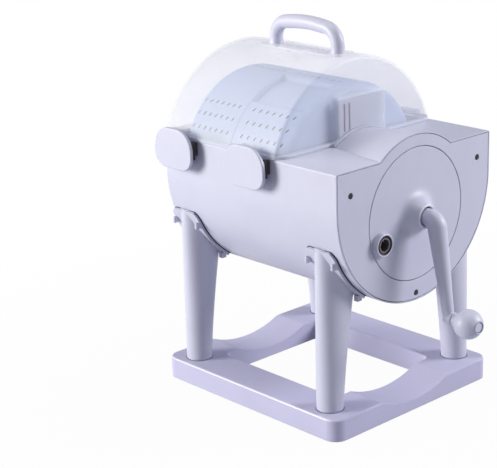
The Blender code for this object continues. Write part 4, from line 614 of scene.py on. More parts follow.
def add_loft(bm, rings):
    """Adds a solid through a list of rings with the same number of points."""
    rows = [[bm.verts.new(point) for point in ring] for ring in rings]
    for lower, upper in zip(rows, rows[1:]):
        for i in range(len(lower)):
            j = (i + 1) % len(lower)
            bm.faces.new((lower[i], lower[j], upper[j], upper[i]))
    bm.faces.new(rows[0])
    bm.faces.new(rows[-1])


def loft(name, rings):
    bm = bmesh.new()
    add_loft(bm, rings)
    return shape(name, bm)


def wedge(name, start, end, inner, outer, first, last, steps):
    """A curved block about the drum's axis between two angles."""
    outer_arc = [polar(outer, angle) for angle in spaced(first, last, steps)]
    inner_arc = [polar(inner, angle) for angle in spaced(last, first, steps)]
    return prism(name, outer_arc + inner_arc, start, end)


def finished_mesh(obj):
    """The mesh of a helper with its cuts and joins carried out."""
    bpy.context.view_layer.update()
    graph = bpy.context.evaluated_depsgraph_get()
    return bpy.data.meshes.new_from_object(obj.evaluated_get(graph))


def tube_along(name, route):
    """A round bar through points (x, z, radius) in the plane of the crank and the handle."""
    curve = bpy.data.curves.new(name, "CURVE")
    curve.dimensions = "3D"
    curve.bevel_depth = 1.0
    curve.bevel_resolution = TUBE_SIDES
    curve.use_fill_caps = True
    spline = curve.splines.new("POLY")
    spline.points.add(len(route) - 1)
    for point, (x, z, radius) in zip(spline.points, route):
        point.co = (x, 0, z, 1)
        point.radius = radius
    bm = bmesh.new()
    bm.from_mesh(finished_mesh(new_object(name, curve, HELPERS)))
    bmesh.ops.remove_doubles(bm, verts=bm.verts, dist=1e-5)
    return shape(name, bm)


def piece(obj, node, body, finish, sharp=32):
    """The helper's finished shape as the visible piece that stands for a CAD node."""
    made = free_piece(obj, node + "_fine", body, finish, sharp)
    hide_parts(node)
    return made


def free_piece(obj, name, body, finish, sharp=32):
    """A piece that stands for no CAD node; it rides on a body."""
    mesh = finished_mesh(obj)
    mesh.transform(Matrix.Translation(SHIFT))
    bm = bmesh.new()
    bm.from_mesh(mesh)
    bmesh.ops.remove_doubles(bm, verts=bm.verts, dist=1e-6)
    bmesh.ops.dissolve_limit(bm, angle_limit=radians(0.2), verts=bm.verts, edges=bm.edges)
    bm.to_mesh(mesh)
    bm.free()
    mesh.materials.clear()
    mesh.materials.append(FINISHES[finish])
    mesh.shade_smooth()
    mesh.set_sharp_from_angle(angle=radians(sharp))
    made = new_object(name, mesh)
    weighted = made.modifiers.new("normals", "WEIGHTED_NORMAL")
    weighted.keep_sharp = True
    for helper in list(HELPERS.objects):
        bpy.data.objects.remove(helper, do_unlink=True)
    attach(made, body)
    return made


def paint(obj, finish, chosen):
    """Gives a second finish to the faces that a test picks."""
    obj.data.materials.append(FINISHES[finish])
    for face in obj.data.polygons:
        if chosen(face.center - SHIFT, face):
            face.material_index = 1


def body_outline(radius, deck, corner=0.0):
    """The tub's U shape: straight walls, a round belly, and rounded corners at the deck."""
    belly = arc(DRUM_AXIS, radius, 0, -180, BELLY_STEPS)
    if not corner:
        return [(radius, deck)] + belly + [(-radius, deck)]
    right = arc((radius - corner, deck - corner), corner, 90, 0, 6)
    left = arc((-radius + corner, deck - corner), corner, 180, 90, 6)
    return right + belly + left


def panel_outline(shrink):
    """The tub's end with the hump's arc on top, made smaller all round by shrink."""
    hump = HUMP_RADIUS_OUT - shrink
    deck = DECK_Z - shrink
    half = sqrt(hump**2 - (deck - CRANK_AXIS_Z) ** 2)
    side = degrees(atan2(deck - CRANK_AXIS_Z, half))
    over = arc(CRANK_AXIS, hump, 180 - side, side, 48)
    return body_outline(TUB_RADIUS - shrink, deck, max(TUB_EDGE - shrink, 0.0004)) + over


def hump_radius(x):
    slope = (HUMP_RADIUS_OUT - HUMP_RADIUS_IN) / (TUB_RIGHT - HUMP_START_X)
    return HUMP_RADIUS_IN + slope * (x - HUMP_START_X)


def hump_cone(name, grow, start, end):
    """The deck's hump over the gear case, a cone about the crank's axis, grown by grow."""
    first, last = hump_radius(start) + grow, hump_radius(end) + grow
    return rod(name, start, end, first, CRANK_AXIS, HUMP_STEPS, last)


def base_frame():
    half_x, half_y = BASE_LENGTH / 2, BASE_WIDTH / 2
    inner_x, inner_y = half_x - SIDE_BAR, half_y - FRONT_BAR
    outline = rounded_rectangle(half_x, half_y, BASE_CORNER, 14)
    base = prism("base", outline, FOOT_PROUD, BASE_TOP, "Z", BASE_FINE_EDGE, 5)
    cut(base, base_window(inner_x, inner_y))
    scoop_axis = (0, SCOOP_FLOOR + SCOOP_RADIUS)
    drill(base, -half_x, half_x, SCOOP_RADIUS, scoop_axis, 240)
    head_top = FOOT_HEIGHT + 2 * SEAT + LEG_SCREW_HEAD_HEIGHT
    for sx, sy in CORNERS.values():
        for low, high, radius, steps in (
            (0, FOOT_HEIGHT + SEAT, FOOT_RADIUS + SEAT, 32),
            (0, head_top + SEAT, LEG_SCREW_HEAD + SEAT, 24),
            (BASE_TOP - SPIGOT_LENGTH, BASE_TOP + PAST, SPIGOT_RADIUS + SEAT, 32),
            (BASE_TOP - LEG_SEAM_DEPTH, BASE_TOP + PAST, LEG_RADIUS + LEG_SEAM, 48),
        ):
            cut(base, peg("leg_place", low, high, radius, sx * LEG_X, sy * LEG_Y, steps))
    for low, high in base_pockets(half_x, half_y):
        cut(base, box("pocket", low, high, POCKET_EDGE))
    groove_y = inner_y + GROOVE_INSET
    groove_low = (-inner_x, groove_y - GROOVE_HALF, BASE_TOP - 2 * GROOVE_HALF)
    cut(base, box("rear_groove", groove_low, (inner_x, groove_y + GROOVE_HALF, BASE_TOP + PAST)))

    def painted_edge_highlight(place, face):
        """Picks the rounded front top edge of the base, which gets a lighter finish as a painted
        highlight.
        """
        at_edge = place.y < BASE_FINE_EDGE - half_y and place.z > BASE_TOP - BASE_FINE_EDGE
        between_corners = abs(place.x) < half_x - BASE_CORNER * 0.3
        return at_edge and between_corners and HIGHLIGHT_SLOPES[0] < face.normal.z < HIGHLIGHT_SLOPES[1]

    paint(piece(base, "base_frame", "stand", "body_low"), "edge", painted_edge_highlight)


def base_window(half_x, half_y):
    """The opening between the bars, with a softened upper edge."""
    part_way = WINDOW_EDGE * 0.3
    window = []
    for z, grow in (
        (-PAST, 0.0),
        (BASE_TOP - WINDOW_EDGE, 0.0),
        (BASE_TOP - part_way, part_way),
        (BASE_TOP, WINDOW_EDGE),
        (BASE_TOP + PAST, WINDOW_EDGE + PAST),
    ):
        ring = rounded_rectangle(half_x + grow, half_y + grow, WINDOW_CORNER + grow, 8)
        window.append([(x, y, z) for x, y in ring])
    return loft("window", window)


def base_pockets(half_x, half_y):
    """Corners of the hollows under the bars, two rows a bar with ribs between them."""
    spans = []
    for sign in (-1, 1):
        middle = sign * (half_y - FRONT_BAR / 2)
        spans += pocket_rows(LEG_X, middle, FRONT_BAR, BASE_TOP - BASE_WALL)
        middle = sign * (half_x - SIDE_BAR / 2)
        for corners in pocket_rows(LEG_Y, middle, SIDE_BAR, SCOOP_FLOOR - BASE_WALL):
            spans.append(tuple((y, x, z) for x, y, z in corners))
    return spans


def pocket_rows(leg, middle, width, top):
    """Corners of the hollows under one bar along X, between its two legs."""
    spans = []
    run = 2 * (leg - BOSS_HALF)
    step = run / POCKETS_PER_BAR
    row = (width - 3 * BASE_WALL) / 2
    for i in range(POCKETS_PER_BAR):
        start = -run / 2 + i * step + BASE_WALL / 2
        end = start + step - BASE_WALL
        for side in (-1, 1):
            low = middle + side * (BASE_WALL / 2 + row / 2) - row / 2
            spans.append(((start, low, -PAST), (end, low + row, top)))
    return spans


def leg_rings(sx, sy, wall, low, high, steps, levels):
    """Oval sections of a leg: the outer face stays upright while the leg widens inwards."""
    rings = []
    outer_y = LEG_Y + LEG_RADIUS
    top_z = DRUM_AXIS_Z - TUB_RADIUS * sin(radians(SADDLE_TOP_ANGLE))
    for z in spaced(low, high, levels):
        share = min(1.0, max(0.0, (z - BASE_TOP) / (top_z - BASE_TOP)))
        half_x = LEG_RADIUS + (LEG_TOP_HALF_X - LEG_RADIUS) * share
        half_y = LEG_RADIUS + (LEG_TOP_HALF_Y - LEG_RADIUS) * share**LEG_FLARE_POWER
        centre_y = sy * (outer_y - half_y)
        ring = []
        for i in range(steps):
            turn = TAU * i / steps
            x = sx * LEG_X + (half_x - wall) * cos(turn)
            ring.append((x, centre_y + (half_y - wall) * sin(turn), z))
        rings.append(ring)
    return rings


def saddle_sheet(name, sx, sy, inner, outer, grow, edge=0.0):
    """A curved sheet on the tub in the saddle's outline, larger all round by grow."""
    low, high = -SADDLE_LOW_ANGLE, -SADDLE_TOP_ANGLE + 0.35 * grow / outer * 180 / pi
    outline = arc(DRUM_AXIS, outer, low, high, 24) + arc(DRUM_AXIS, inner, high, low, 24)
    start = sx * LEG_X - SADDLE_HALF_WIDTH - grow
    end = sx * LEG_X + SADDLE_HALF_WIDTH + grow
    return prism(name, [(sy * y, z) for y, z in outline], start, end, edge=edge)


def round_shoulders(obj, sx, sy, top, grow):
    """Rounds off the two upper corners of a saddle, and of the leg under it."""
    reach = SADDLE_CORNER + grow
    for side in (-1, 1):
        edge = sx * LEG_X + side * (SADDLE_HALF_WIDTH + grow)
        past = edge + side * 0.002
        above = top + 0.006
        corner = [(past, above), (past, top - reach)]
        corner += arc((edge - side * reach, top - reach), reach, 90 - 90 * side, 90, 12)
        corner += [(edge - side * reach, above)]
        start, end = (sy * y for y in SHOULDER_CUT)
        cut(obj, prism("shoulder", corner, start, end, "Y"))


def saddle(sx, sy):
    """The curved plate between a leg and the tub, with its clip feet below."""
    outer = TUB_SEAT + SADDLE_THICKNESS
    plate = saddle_sheet("saddle", sx, sy, TUB_SEAT - OVERLAP, outer, 0, FINE_EDGE)
    angle = radians(-SADDLE_LOW_ANGLE + 0.08 * (SADDLE_LOW_ANGLE - SADDLE_TOP_ANGLE))
    clip = outer + CLIP_SIZE * 0.30
    y, z = sy * clip * cos(angle), DRUM_AXIS_Z + clip * sin(angle)
    half = CLIP_SIZE / 2
    for side in (-1, 1):
        x = sx * LEG_X + side * (SADDLE_HALF_WIDTH - half)
        low_corner = (x - half + 0.0005, y - half, z - half)
        high_corner = (x + half - 0.0005, y + half, z + half)
        join(plate, box("clip_foot", low_corner, high_corner, 0.001))
    return plate


def saddle_ribs(leg, sx, sy, top):
    """A thin upright rib under the plate on either side of the leg."""
    front = (TUB_SEAT + SADDLE_THICKNESS) * cos(radians(SADDLE_TOP_ANGLE)) - FINE_EDGE
    y_low, y_high = sorted((sy * front, sy * (front - RIB_DEPTH)))
    for side in (-1, 1):
        edge = sx * LEG_X + side * (SADDLE_HALF_WIDTH - 0.0004)
        x_low, x_high = sorted((edge, edge - side * RIB_THICKNESS))
        low_corner = (x_low, y_low, top - RIB_DROP - RIB_HEIGHT)
        join(leg, box("rib", low_corner, (x_high, y_high, top - RIB_DROP), RIB_EDGE, 3))


def legs():
    reach = DRUM_AXIS_Z - TUB_RADIUS * sin(radians(SADDLE_TOP_ANGLE - 4))
    rib_top = DRUM_AXIS_Z - (TUB_SEAT + SADDLE_THICKNESS) * sin(radians(SADDLE_TOP_ANGLE))
    top = DRUM_AXIS_Z - TUB_SEAT * sin(radians(SADDLE_TOP_ANGLE)) + SADDLE_TRIM
    spigot_low = BASE_TOP - SPIGOT_LENGTH + SEAT
    for name, (sx, sy) in CORNERS.items():
        x, y = sx * LEG_X, sy * LEG_Y
        leg = loft("leg", leg_rings(sx, sy, 0, BASE_TOP + SEAT, reach, 56, 16))
        join(leg, peg("spigot", spigot_low, BASE_TOP + 0.004, SPIGOT_RADIUS, x, y, 32))
        join(leg, saddle(sx, sy))
        saddle_ribs(leg, sx, sy, rib_top)
        core = leg_rings(sx, sy, LEG_WALL, BASE_TOP + LEG_FLOOR, reach + 0.02, 24, 6)
        cut(leg, loft("leg_core", core))
        cut(leg, rod("tub_seat", -OUTSIDE, OUTSIDE, TUB_SEAT, DRUM_AXIS, 192))
        half_x, half_y, rise = LEG_TRIM
        high_corner = (x + half_x, y + half_y, top + rise)
        cut(leg, box("leg_trim", (x - half_x, y - half_y, top), high_corner))
        round_shoulders(leg, sx, sy, top, 0)
        cut(leg, peg("leg_pilot", 0, BASE_TOP + 0.008, LEG_SCREW_RADIUS + SEAT, x, y, 16))
        piece(leg, "leg_" + name, "stand", "body")
        # A near-black strip along each saddle's joint with the tub, as painted shadow in the joint.
        inner, outer = TUB_RADIUS + SEAM_GAP, TUB_RADIUS + SADDLE_SEAM_RISE
        seam = saddle_sheet("seam", sx, sy, inner, outer, SADDLE_SEAM)
        round_shoulders(seam, sx, sy, top + SADDLE_SEAM, SADDLE_SEAM)
        free_piece(seam, "saddle_seam_" + name, "stand", "seam")


def keeper(x):
    """The ledge on the front wall that a latch hooks under."""
    wall = -TUB_RADIUS + OVERLAP
    tip = -TUB_RADIUS - KEEPER_REACH
    low = KEEPER_BOTTOM
    top = low + KEEPER_HEIGHT + KEEPER_SLOPE
    outline = [(wall, low), (tip, low), (tip, low + KEEPER_LIP), (wall, top)]
    return slab("keeper", outline, x, KEEPER_HALF)


def hinge_ear(start):
    """A bracket on the rear wall that holds one end of a hinge pin."""
    wall = TUB_RADIUS - OVERLAP
    clear = TUB_RADIUS + RIM_OVERHANG + HINGE_EAR_GAP
    top = DECK_Z - HINGE_EAR_DROP
    outline = [(wall, top - HINGE_EAR_HEIGHT), (wall, top), (clear, top)]
    outline += arc(HINGE_AXIS, HINGE_RADIUS, 150, -30, 6)
    return prism("hinge_ear", outline, start, start + HINGE_EAR)


def bearing_boss(shell, wall, end, shaft, boss_wall):
    """A boss on a wall with the hole for its bush, about the drum's axis."""
    join(shell, rod("boss", wall + OVERLAP, end, shaft + boss_wall, DRUM_AXIS, 32))
    hole = shaft + RUNNING + BUSH_WALL + SEAT
    drill(shell, wall, end, hole, DRUM_AXIS, 32)


def tub_shell():
    """The tub with its bulkhead, deck and hump; its end wall is a thin rim round the panel."""
    outer = body_outline(TUB_RADIUS, DECK_Z, TUB_EDGE)
    shell = prism("tub", outer, TUB_RIGHT, TUB_LEFT, edge=TUB_EDGE, segments=5)
    hump_start = HUMP_START_X - HUMP_ROOT
    join(shell, hump_cone("hump", 0, hump_start, TUB_RIGHT))
    inner = body_outline(TUB_INNER, DECK_Z + 0.05)
    cut(shell, prism("wet_space", inner, TUB_LEFT + TUB_WALL, BULKHEAD_X))
    case = body_outline(TUB_INNER, DECK_Z - TUB_WALL)
    end = PANEL_LEFT - PANEL_RECESS
    cut(shell, prism("gear_space", case, BULKHEAD_RIGHT, end))
    cut(shell, hump_cone("hump_space", -TUB_WALL, hump_start + TUB_WALL, end))
    cut(shell, prism("panel_seat", panel_outline(END_RIM), end - OVERLAP, TUB_RIGHT + PAST))
    bearing_boss(shell, BULKHEAD_X, DRUM_PINION_X - PINION_GAP, SHAFT_RADIUS, DRIVE_BOSS_WALL)
    bearing_boss(shell, TUB_LEFT, DRUM_LEFT - IDLE_GAP, IDLE_RADIUS, IDLE_BOSS_WALL)
    for x in LATCH_X:
        join(shell, keeper(x))
    for x in HINGE_X:
        for side in (-1, 1):
            middle = x + side * (HINGE_HALF + RUNNING + HINGE_EAR / 2)
            join(shell, hinge_ear(middle - HINGE_EAR / 2))
    cut(shell, rod("hinge_hole", *PIN_SPAN, PIN_RADIUS + SEAT, HINGE_AXIS, 20))
    spout_end = TUB_LEFT - DRAIN_LENGTH
    join(shell, rod("drain_spout", spout_end, TUB_LEFT + OVERLAP, DRAIN_RADIUS, DRAIN_AXIS, 40))
    drill(shell, spout_end, TUB_LEFT, DRAIN_BORE + SEAT, DRAIN_AXIS, 40)
    piece(shell, "tub_shell", "stand", "body")


def end_seams():
    """The dark lines round the end panel and round the gear cover: near-black strips set into the
    joints as painted shadow.
    """
    outer, inner = panel_outline(END_RIM + 0.0001), panel_outline(END_RIM + SEAM_WIDTH)
    strip = prism("strip", outer, TUB_RIGHT - PANEL_SEAM_BACK, TUB_RIGHT - SEAM_DEPTH)
    cut(strip, prism("strip_inside", inner, TUB_RIGHT - PAST, TUB_RIGHT + PAST))
    free_piece(strip, "panel_seam", "stand", "seam")
    inner, outer = COVER_RADIUS + SEAM_GAP, COVER_RADIUS + SEAM_WIDTH
    back, front = TUB_RIGHT - COVER_SEAM_BACK, TUB_RIGHT - SEAM_DEPTH
    profile = [(back, inner), (front, inner), (front, outer), (back, outer)]
    seam = turned("cover_seam", profile, CRANK_AXIS, COVER_STEPS, ring=True)
    free_piece(seam, "cover_seam", "stand", "seam")


def panel_way(narrow, step, wide, edge, axis, steps):
    """A hole through the end panel, wide from a step on and with its outer edge taken off."""
    start, end = PANEL_LEFT - PAST, TUB_RIGHT + PAST
    way = [(start, 0), (start, narrow), (step, narrow), (step, wide), (TUB_RIGHT - edge, wide)]
    way += [(TUB_RIGHT + edge, wide + 2 * edge), (end, wide + 2 * edge), (end, 0)]
    return turned("panel_way", way, axis, steps)


def drive_end_panel():
    outline = panel_outline(END_RIM + SEAM_WIDTH)
    panel = prism("panel", outline, PANEL_LEFT, TUB_RIGHT, edge=PANEL_EDGE, segments=3)
    rim = COVER_RADIUS + COVER_LEDGE / 2
    join(panel, rod("ledge", PANEL_LEFT - PANEL, PANEL_LEFT + OVERLAP, rim, CRANK_AXIS, 96))
    ledge, hole = COVER_RADIUS - COVER_LEDGE, COVER_RADIUS + SEAM_WIDTH
    seat = COVER_BACK - SEAT
    cut(panel, panel_way(ledge, seat, hole, COVER_WAY_EDGE, CRANK_AXIS, COVER_STEPS))
    shank, sink, head = SCREW_RADIUS + SEAT, TUB_RIGHT - HEAD_SINK, SCREW_HEAD + SEAT
    for place in PANEL_SCREWS:
        cut(panel, panel_way(shank, sink, head, SCREW_WAY_EDGE, place, 32))
    piece(panel, "drive_end_panel", "stand", "body")


def flare_height(radius):
    """How far the cover's face has risen at a radius, on its way out to the crank's mouth."""
    share = max(0.0, (FLARE_RADIUS - radius) / (FLARE_RADIUS - MOUTH_RADIUS))
    return FLARE_HEIGHT * min(1.0, share**FLARE_POWER)


def gear_cover():
    """The round cover with its flared mouth for the crank and a smaller boss beside it."""
    back, face = COVER_BACK, TUB_RIGHT
    rim = COVER_RADIUS
    profile = [(back, rim), (face - FINE_EDGE, rim), (face, rim - FINE_EDGE)]
    for radius in spaced(FLARE_RADIUS, MOUTH_RADIUS, 32)[:-1]:
        profile.append((face + flare_height(radius), radius))
    mouth = MOUTH_RADIUS - MOUTH_WALL
    lip = (MOUTH_RADIUS - mouth) / 2
    lip_x, lip_radius = face + FLARE_HEIGHT - lip, MOUTH_RADIUS - lip
    for angle in range(0, 181, 20):
        profile.append((lip_x + lip * sin(radians(angle)), lip_radius + lip * cos(radians(angle))))
    seat = BUSH_RADIUS + SEAT
    outside = seat + BOSS_WALL
    profile += [(SLEEVE_END + SLEEVE_GAP, mouth), (SLEEVE_END + SLEEVE_GAP, seat)]
    profile += [(back - BUSH_REACH, seat), (back - BUSH_REACH, outside)]
    for radius in (outside, outside + BOSS_ROOT):
        profile.append((face + max(flare_height(radius + PANEL) - PANEL, 0.0), radius))
    profile.append((back, outside + 2 * BOSS_ROOT))
    cover = turned("cover", profile, CRANK_AXIS, COVER_STEPS, ring=True)
    join(cover, low_boss(back, face))
    drill(cover, back, face + LOW_BOSS_HEIGHT, SLEEVE_RADIUS + RUNNING, LOW_AXIS, 64)

    def in_shaded_socket(place, _):
        """Picks the second socket's inside, which gets a near-black finish as painted shade in its
        recess.
        """
        off_axis = hypot(place.y - LOW_Y, place.z - LOW_Z)
        near = off_axis < LOW_LIP_RADIUS - LOW_LIP_WALL + 0.0002
        return near and place.x < face + LOW_BOSS_HEIGHT - FINE_EDGE

    paint(piece(cover, "gear_cover", "stand", "body"), "socket", in_shaded_socket)
    # The bead round the crank's mouth takes a lighter finish as a painted highlight on the lip.
    centre = (face + FLARE_HEIGHT - BEAD_RADIUS, MOUTH_RADIUS - BEAD_INSET)
    circle = arc(centre, BEAD_RADIUS, 0, 360, 16)[:-1]
    bead = turned("mouth_bead", circle, CRANK_AXIS, 96, ring=True)
    free_piece(bead, "mouth_bead", "stand", "lip")


def low_boss(back, face):
    """The second socket's boss, with a soft foot and a round lip."""
    tip = face + LOW_BOSS_HEIGHT
    foot = LOW_BOSS_FLARE - LOW_LIP_RADIUS
    boss = [(back + OVERLAP, 0), (back + OVERLAP, LOW_BOSS_FLARE), (face, LOW_BOSS_FLARE)]
    for angle in spaced(0, 90, 8)[1:]:
        turn = radians(angle)
        boss.append((face + LOW_FOOT_ROUND * (1 - cos(turn)), LOW_BOSS_FLARE - foot * sin(turn)))
    boss += arc((tip - LOW_LIP_EDGE, LOW_LIP_RADIUS - LOW_LIP_EDGE), LOW_LIP_EDGE, 90, 0, 8)
    mouth = LOW_LIP_RADIUS - LOW_LIP_WALL
    bottom = tip - LOW_MOUTH_DEPTH
    boss += [(tip, mouth + LOW_MOUTH_EDGE), (tip - LOW_MOUTH_EDGE, mouth)]
    boss += [(bottom, mouth), (bottom, 0)]
    return turned("low_boss", boss, LOW_AXIS, 72)


def arm_route():
    """Points (x, z, radius) down the middle of the crank."""
    lean = atan2(ARM_LOW_X - ARM_TOP_X, CRANK_THROW)
    route = [(ARM_START, CRANK_AXIS_Z, STUB_RADIUS)]
    for share in spaced(0, 1, 16):
        turn = (pi / 2 - lean) * share
        x = ARM_TOP_X - ARM_BEND + ARM_BEND * sin(turn)
        z = CRANK_AXIS_Z - ARM_BEND * (1 - cos(turn))
        route.append((x, z, STUB_RADIUS + (ARM_TOP_RADIUS - STUB_RADIUS) * share))
    bend_end = route[-1]
    knob_end = (ARM_LOW_X, CRANK_END_Z, ARM_LOW_RADIUS)
    for share in spaced(0, 1, 24)[1:]:
        route.append(tuple(a + (b - a) * share for a, b in zip(bend_end, knob_end)))
    for i in range(1, 9):
        turn = pi / 2 * i / 8
        z = CRANK_END_Z - ARM_LOW_RADIUS * sin(turn)
        route.append((ARM_LOW_X + 0.0008 * sin(turn), z, ARM_LOW_RADIUS * max(cos(turn), 0.12)))
    return route


def spline_plug(start, end):
    """The grooved plug that slides into the crank's socket."""
    key = radians(360 / SPLINES)
    outline = []
    for i in range(SPLINES):
        for share, depth in ((-0.28, 0), (0.28, 0), (0.36, SPLINE_DEPTH), (0.64, SPLINE_DEPTH)):
            radius = SOCKET_RADIUS - SEAT - depth
            angle = key * i + key * share
            outline.append((radius * cos(angle), CRANK_AXIS_Z + radius * sin(angle)))
    return prism("plug", outline, start, end)


def crank_arm():
    arm = tube_along("arm", arm_route())
    join(arm, spline_plug(SLEEVE_END - PLUG_LENGTH, ARM_START + 0.004))
    start, end = ARM_LOW_X - 0.004, KNOB_LEFT - KNOB_GAP
    neck = [(start, 0), (start, KNOB_NECK - 0.002), (ARM_LOW_X + 0.001, KNOB_NECK - FINE_EDGE)]
    neck += [(ARM_LOW_X + 0.004, KNOB_NECK), (end - FINE_EDGE, KNOB_NECK)]
    neck += [(end, KNOB_NECK - FINE_EDGE), (end, 0)]
    join(arm, turned("neck", neck, KNOB_AXIS, 48))
    hole = SPINDLE_RADIUS + SEAT
    cut(arm, rod("spindle_hole", ARM_LOW_X, end + PAST, hole, KNOB_AXIS, 24))
    piece(arm, "crank_arm", "crank_arm", "body")


def crank_knob():
    """The round grip, with a rounded flat end and a stepped recess for its spindle."""
    profile = [(KNOB_LEFT, 0), (KNOB_LEFT, KNOB_NECK - 0.001), (KNOB_LEFT + 0.001, KNOB_NECK)]
    last = pi * (1 - KNOB_FLAT)
    for angle in spaced(acos(KNOB_FOOT_SHARE), last, 32)[:-1]:
        profile.append((KNOB_CENTRE - KNOB_RADIUS * cos(angle), KNOB_RADIUS * sin(angle)))
    rim = KNOB_RADIUS * sin(last)
    ring = SPINDLE_HEAD + 2 * RUNNING
    step = KNOB_FACE - FINE_EDGE
    profile += [(KNOB_FACE - 0.0003, rim), (KNOB_FACE, rim - FINE_EDGE)]
    profile += [(KNOB_FACE, ring + 0.0014), (step, ring + 0.0009), (step, 0)]
    knob = turned("knob", profile, KNOB_AXIS, 72)
    recess = KNOB_FACE - KNOB_RECESS
    cut(knob, rod("knob_recess", recess, KNOB_FACE + PAST, ring, KNOB_AXIS, 48))
    drill(knob, KNOB_LEFT, KNOB_FACE, SPINDLE_RADIUS + RUNNING, KNOB_AXIS, 32)
    piece(knob, "crank_knob", "crank_knob", "body")


def smooth_step(share):
    share = min(1.0, max(0.0, share))
    return share * share * (3 - 2 * share)


def pad_lift(angle):
    """How far the wall is raised at an angle: 1 on a pad, 0 in a valley and at the door."""
    middle = PAD_FIRST + round((angle - PAD_FIRST) / PAD_PITCH) * PAD_PITCH
    if abs((middle - DOOR_ANGLE) % 360) < 1:
        return 0.0
    return 1 - smooth_step((abs(angle - middle) - PAD_HALF_ANGLE) / PAD_SLOPE)


def drum_angles():
    """Every two degrees round the drum, closer together on the pads' slopes."""
    edge = PAD_HALF_ANGLE + PAD_SLOPE
    offsets = spaced(-edge, -PAD_HALF_ANGLE, 5)
    offsets += spaced(-PAD_HALF_ANGLE, PAD_HALF_ANGLE, 14)[1:-1]
    offsets += spaced(PAD_HALF_ANGLE, edge, 5)
    offsets += spaced(edge, PAD_PITCH - edge, 13)[1:-1]
    return [middle + offset for middle in PAD_MIDDLES for offset in offsets]


def drum_ring(x, radius, level):
    """One ring of the drum's wall, raised at the pads, and everywhere at least by level."""
    ring = []
    for angle in drum_angles():
        raised = max(level, pad_lift(angle))
        ring.append((x, *polar(radius + PAD_LIFT * raised, angle)))
    return ring


def drum_cup(name, stations, end):
    """A cup with raised pads and an even wall; end is the x of its closed end's inner face."""
    outer = [drum_ring(*station) for station in stations]
    inside = stations[:-1] + [(end, *stations[-1][1:])]
    inner = [drum_ring(x, radius - DRUM_WALL, level) for x, radius, level in inside]
    return loft(name, outer[::-1] + inner)


def hole_rings(x, angle):
    """One oval way through the drum's wall, leaning across its row."""
    rings = []
    for radius in (DRUM_RADIUS - HOLE_INSIDE, DRUM_RADIUS + PAD_LIFT + HOLE_OUTSIDE):
        ring = []
        for i in range(12):
            turn = TAU * i / 12
            along = HOLE_FINE_WIDTH / 2 * cos(turn) + HOLE_SLANT * sin(turn)
            around = HOLE_FINE_LENGTH / 2 * sin(turn) / (DRUM_RADIUS + PAD_LIFT) * 180 / pi
            ring.append((x + along, *polar(radius, angle + around)))
        rings.append(ring)
    return rings


def hole_cutters(first_x, pitch_x, pads):
    """Short slanted holes, three rows to a pad."""
    bm = bmesh.new()
    for middle in pads:
        for row in HOLE_ROWS:
            for i in range(HOLES_PER_ROW):
                add_loft(bm, hole_rings(first_x + i * pitch_x, middle + row))
    return shape("holes", bm)


def in_hole(place, face):
    """Picks the walls of the water holes, as they lie in the drum's own shade."""
    y, z = place.y, place.z - DRUM_AXIS_Z
    distance = hypot(y, z)
    outward = (face.normal.y * y + face.normal.z * z) / distance
    slanted = abs(outward) < 0.35 and abs(face.normal.x) < 0.98
    among_holes = DRUM_LEFT + SHOULDER < place.x < DRUM_RIGHT - SHOULDER
    return slanted and among_holes and INSIDE_DRUM - 0.001 < distance and face.area < 0.00002


def shoulder_stations(end, side):
    """The round shoulder at one end of the drum."""
    stations = []
    for i in range(13):
        turn = pi / 2 * i / 12
        x = end - side * SHOULDER * (1 - sin(turn))
        stations.append((x, DRUM_RADIUS - SHOULDER * (1 - cos(turn)), 1))
    return stations


def drum_left_half():
    """The half that lies smooth at the level of the pads."""
    edge = DRUM_SEAM - SEAT / 2
    stations = [(edge, DRUM_RADIUS - HALF_EDGE, 1), (edge - HALF_EDGE, DRUM_RADIUS, 1)]
    stations.append((DRUM_LEFT + SHOULDER + 0.002, DRUM_RADIUS, 1))
    stations += shoulder_stations(DRUM_LEFT, -1)
    half = drum_cup("left_half", stations, DRUM_LEFT + DRUM_WALL)
    back, top = edge - DRUM_WALL, DRUM_RADIUS + PAD_LIFT - DRUM_LIP_DROP
    lip = [(back, INSIDE_DRUM), (edge, INSIDE_DRUM), (edge, top), (back, top)]
    join(half, turned("seam_lip", lip, DRUM_AXIS, 160, ring=True))
    first = (DRUM_LEFT + DRUM_SEAM) / 2 - 3 * HOLE_PITCH_LEFT
    cut(half, hole_cutters(first, HOLE_PITCH_LEFT, PAD_MIDDLES))
    drill(half, DRUM_LEFT, DRUM_LEFT, IDLE_RADIUS + SEAT, DRUM_AXIS, 32)
    paint(piece(half, "drum_left_half", "drum", "drum", sharp=40), "hole", in_hole)


def drum_right_half():
    """The half with pads and valleys, a flange at its right end and the way for the door."""
    flange = DRUM_RIGHT - SHOULDER
    edge = DRUM_SEAM + SEAT / 2
    stations = [(edge, DRUM_RADIUS - HALF_EDGE, 0), (edge + HALF_EDGE, DRUM_RADIUS, 0)]
    first, last = (flange - reach for reach in FLANGE_RAMP)
    for x, share in zip(spaced(first, last, 5), spaced(0, 1, 5)):
        stations.append((x, DRUM_RADIUS, smooth_step(share)))
    stations += shoulder_stations(DRUM_RIGHT, 1)
    half = drum_cup("right_half", stations, DRUM_RIGHT - DRUM_WALL)
    reach = DOOR_HALF_ANGLE - DOOR_LAP_ANGLE
    start, end = DOOR_LEFT + DOOR_LAP, DOOR_RIGHT - DOOR_LAP
    inner, outer = INSIDE_DRUM - PAST, DRUM_RADIUS + PAST
    angles = DOOR_ANGLE - reach, DOOR_ANGLE + reach
    cut(half, wedge("door_way", start, end, inner, outer, *angles, 24))
    pads = [middle for middle in PAD_MIDDLES if middle != DOOR_ANGLE]
    cut(half, hole_cutters(DRUM_SEAM + HOLE_START_RIGHT, HOLE_PITCH_RIGHT, pads))
    drill(half, DRUM_RIGHT, DRUM_RIGHT, SHAFT_RADIUS + SEAT, DRUM_AXIS, 32)
    paint(piece(half, "drum_right_half", "drum", "drum", sharp=40), "hole", in_hole)


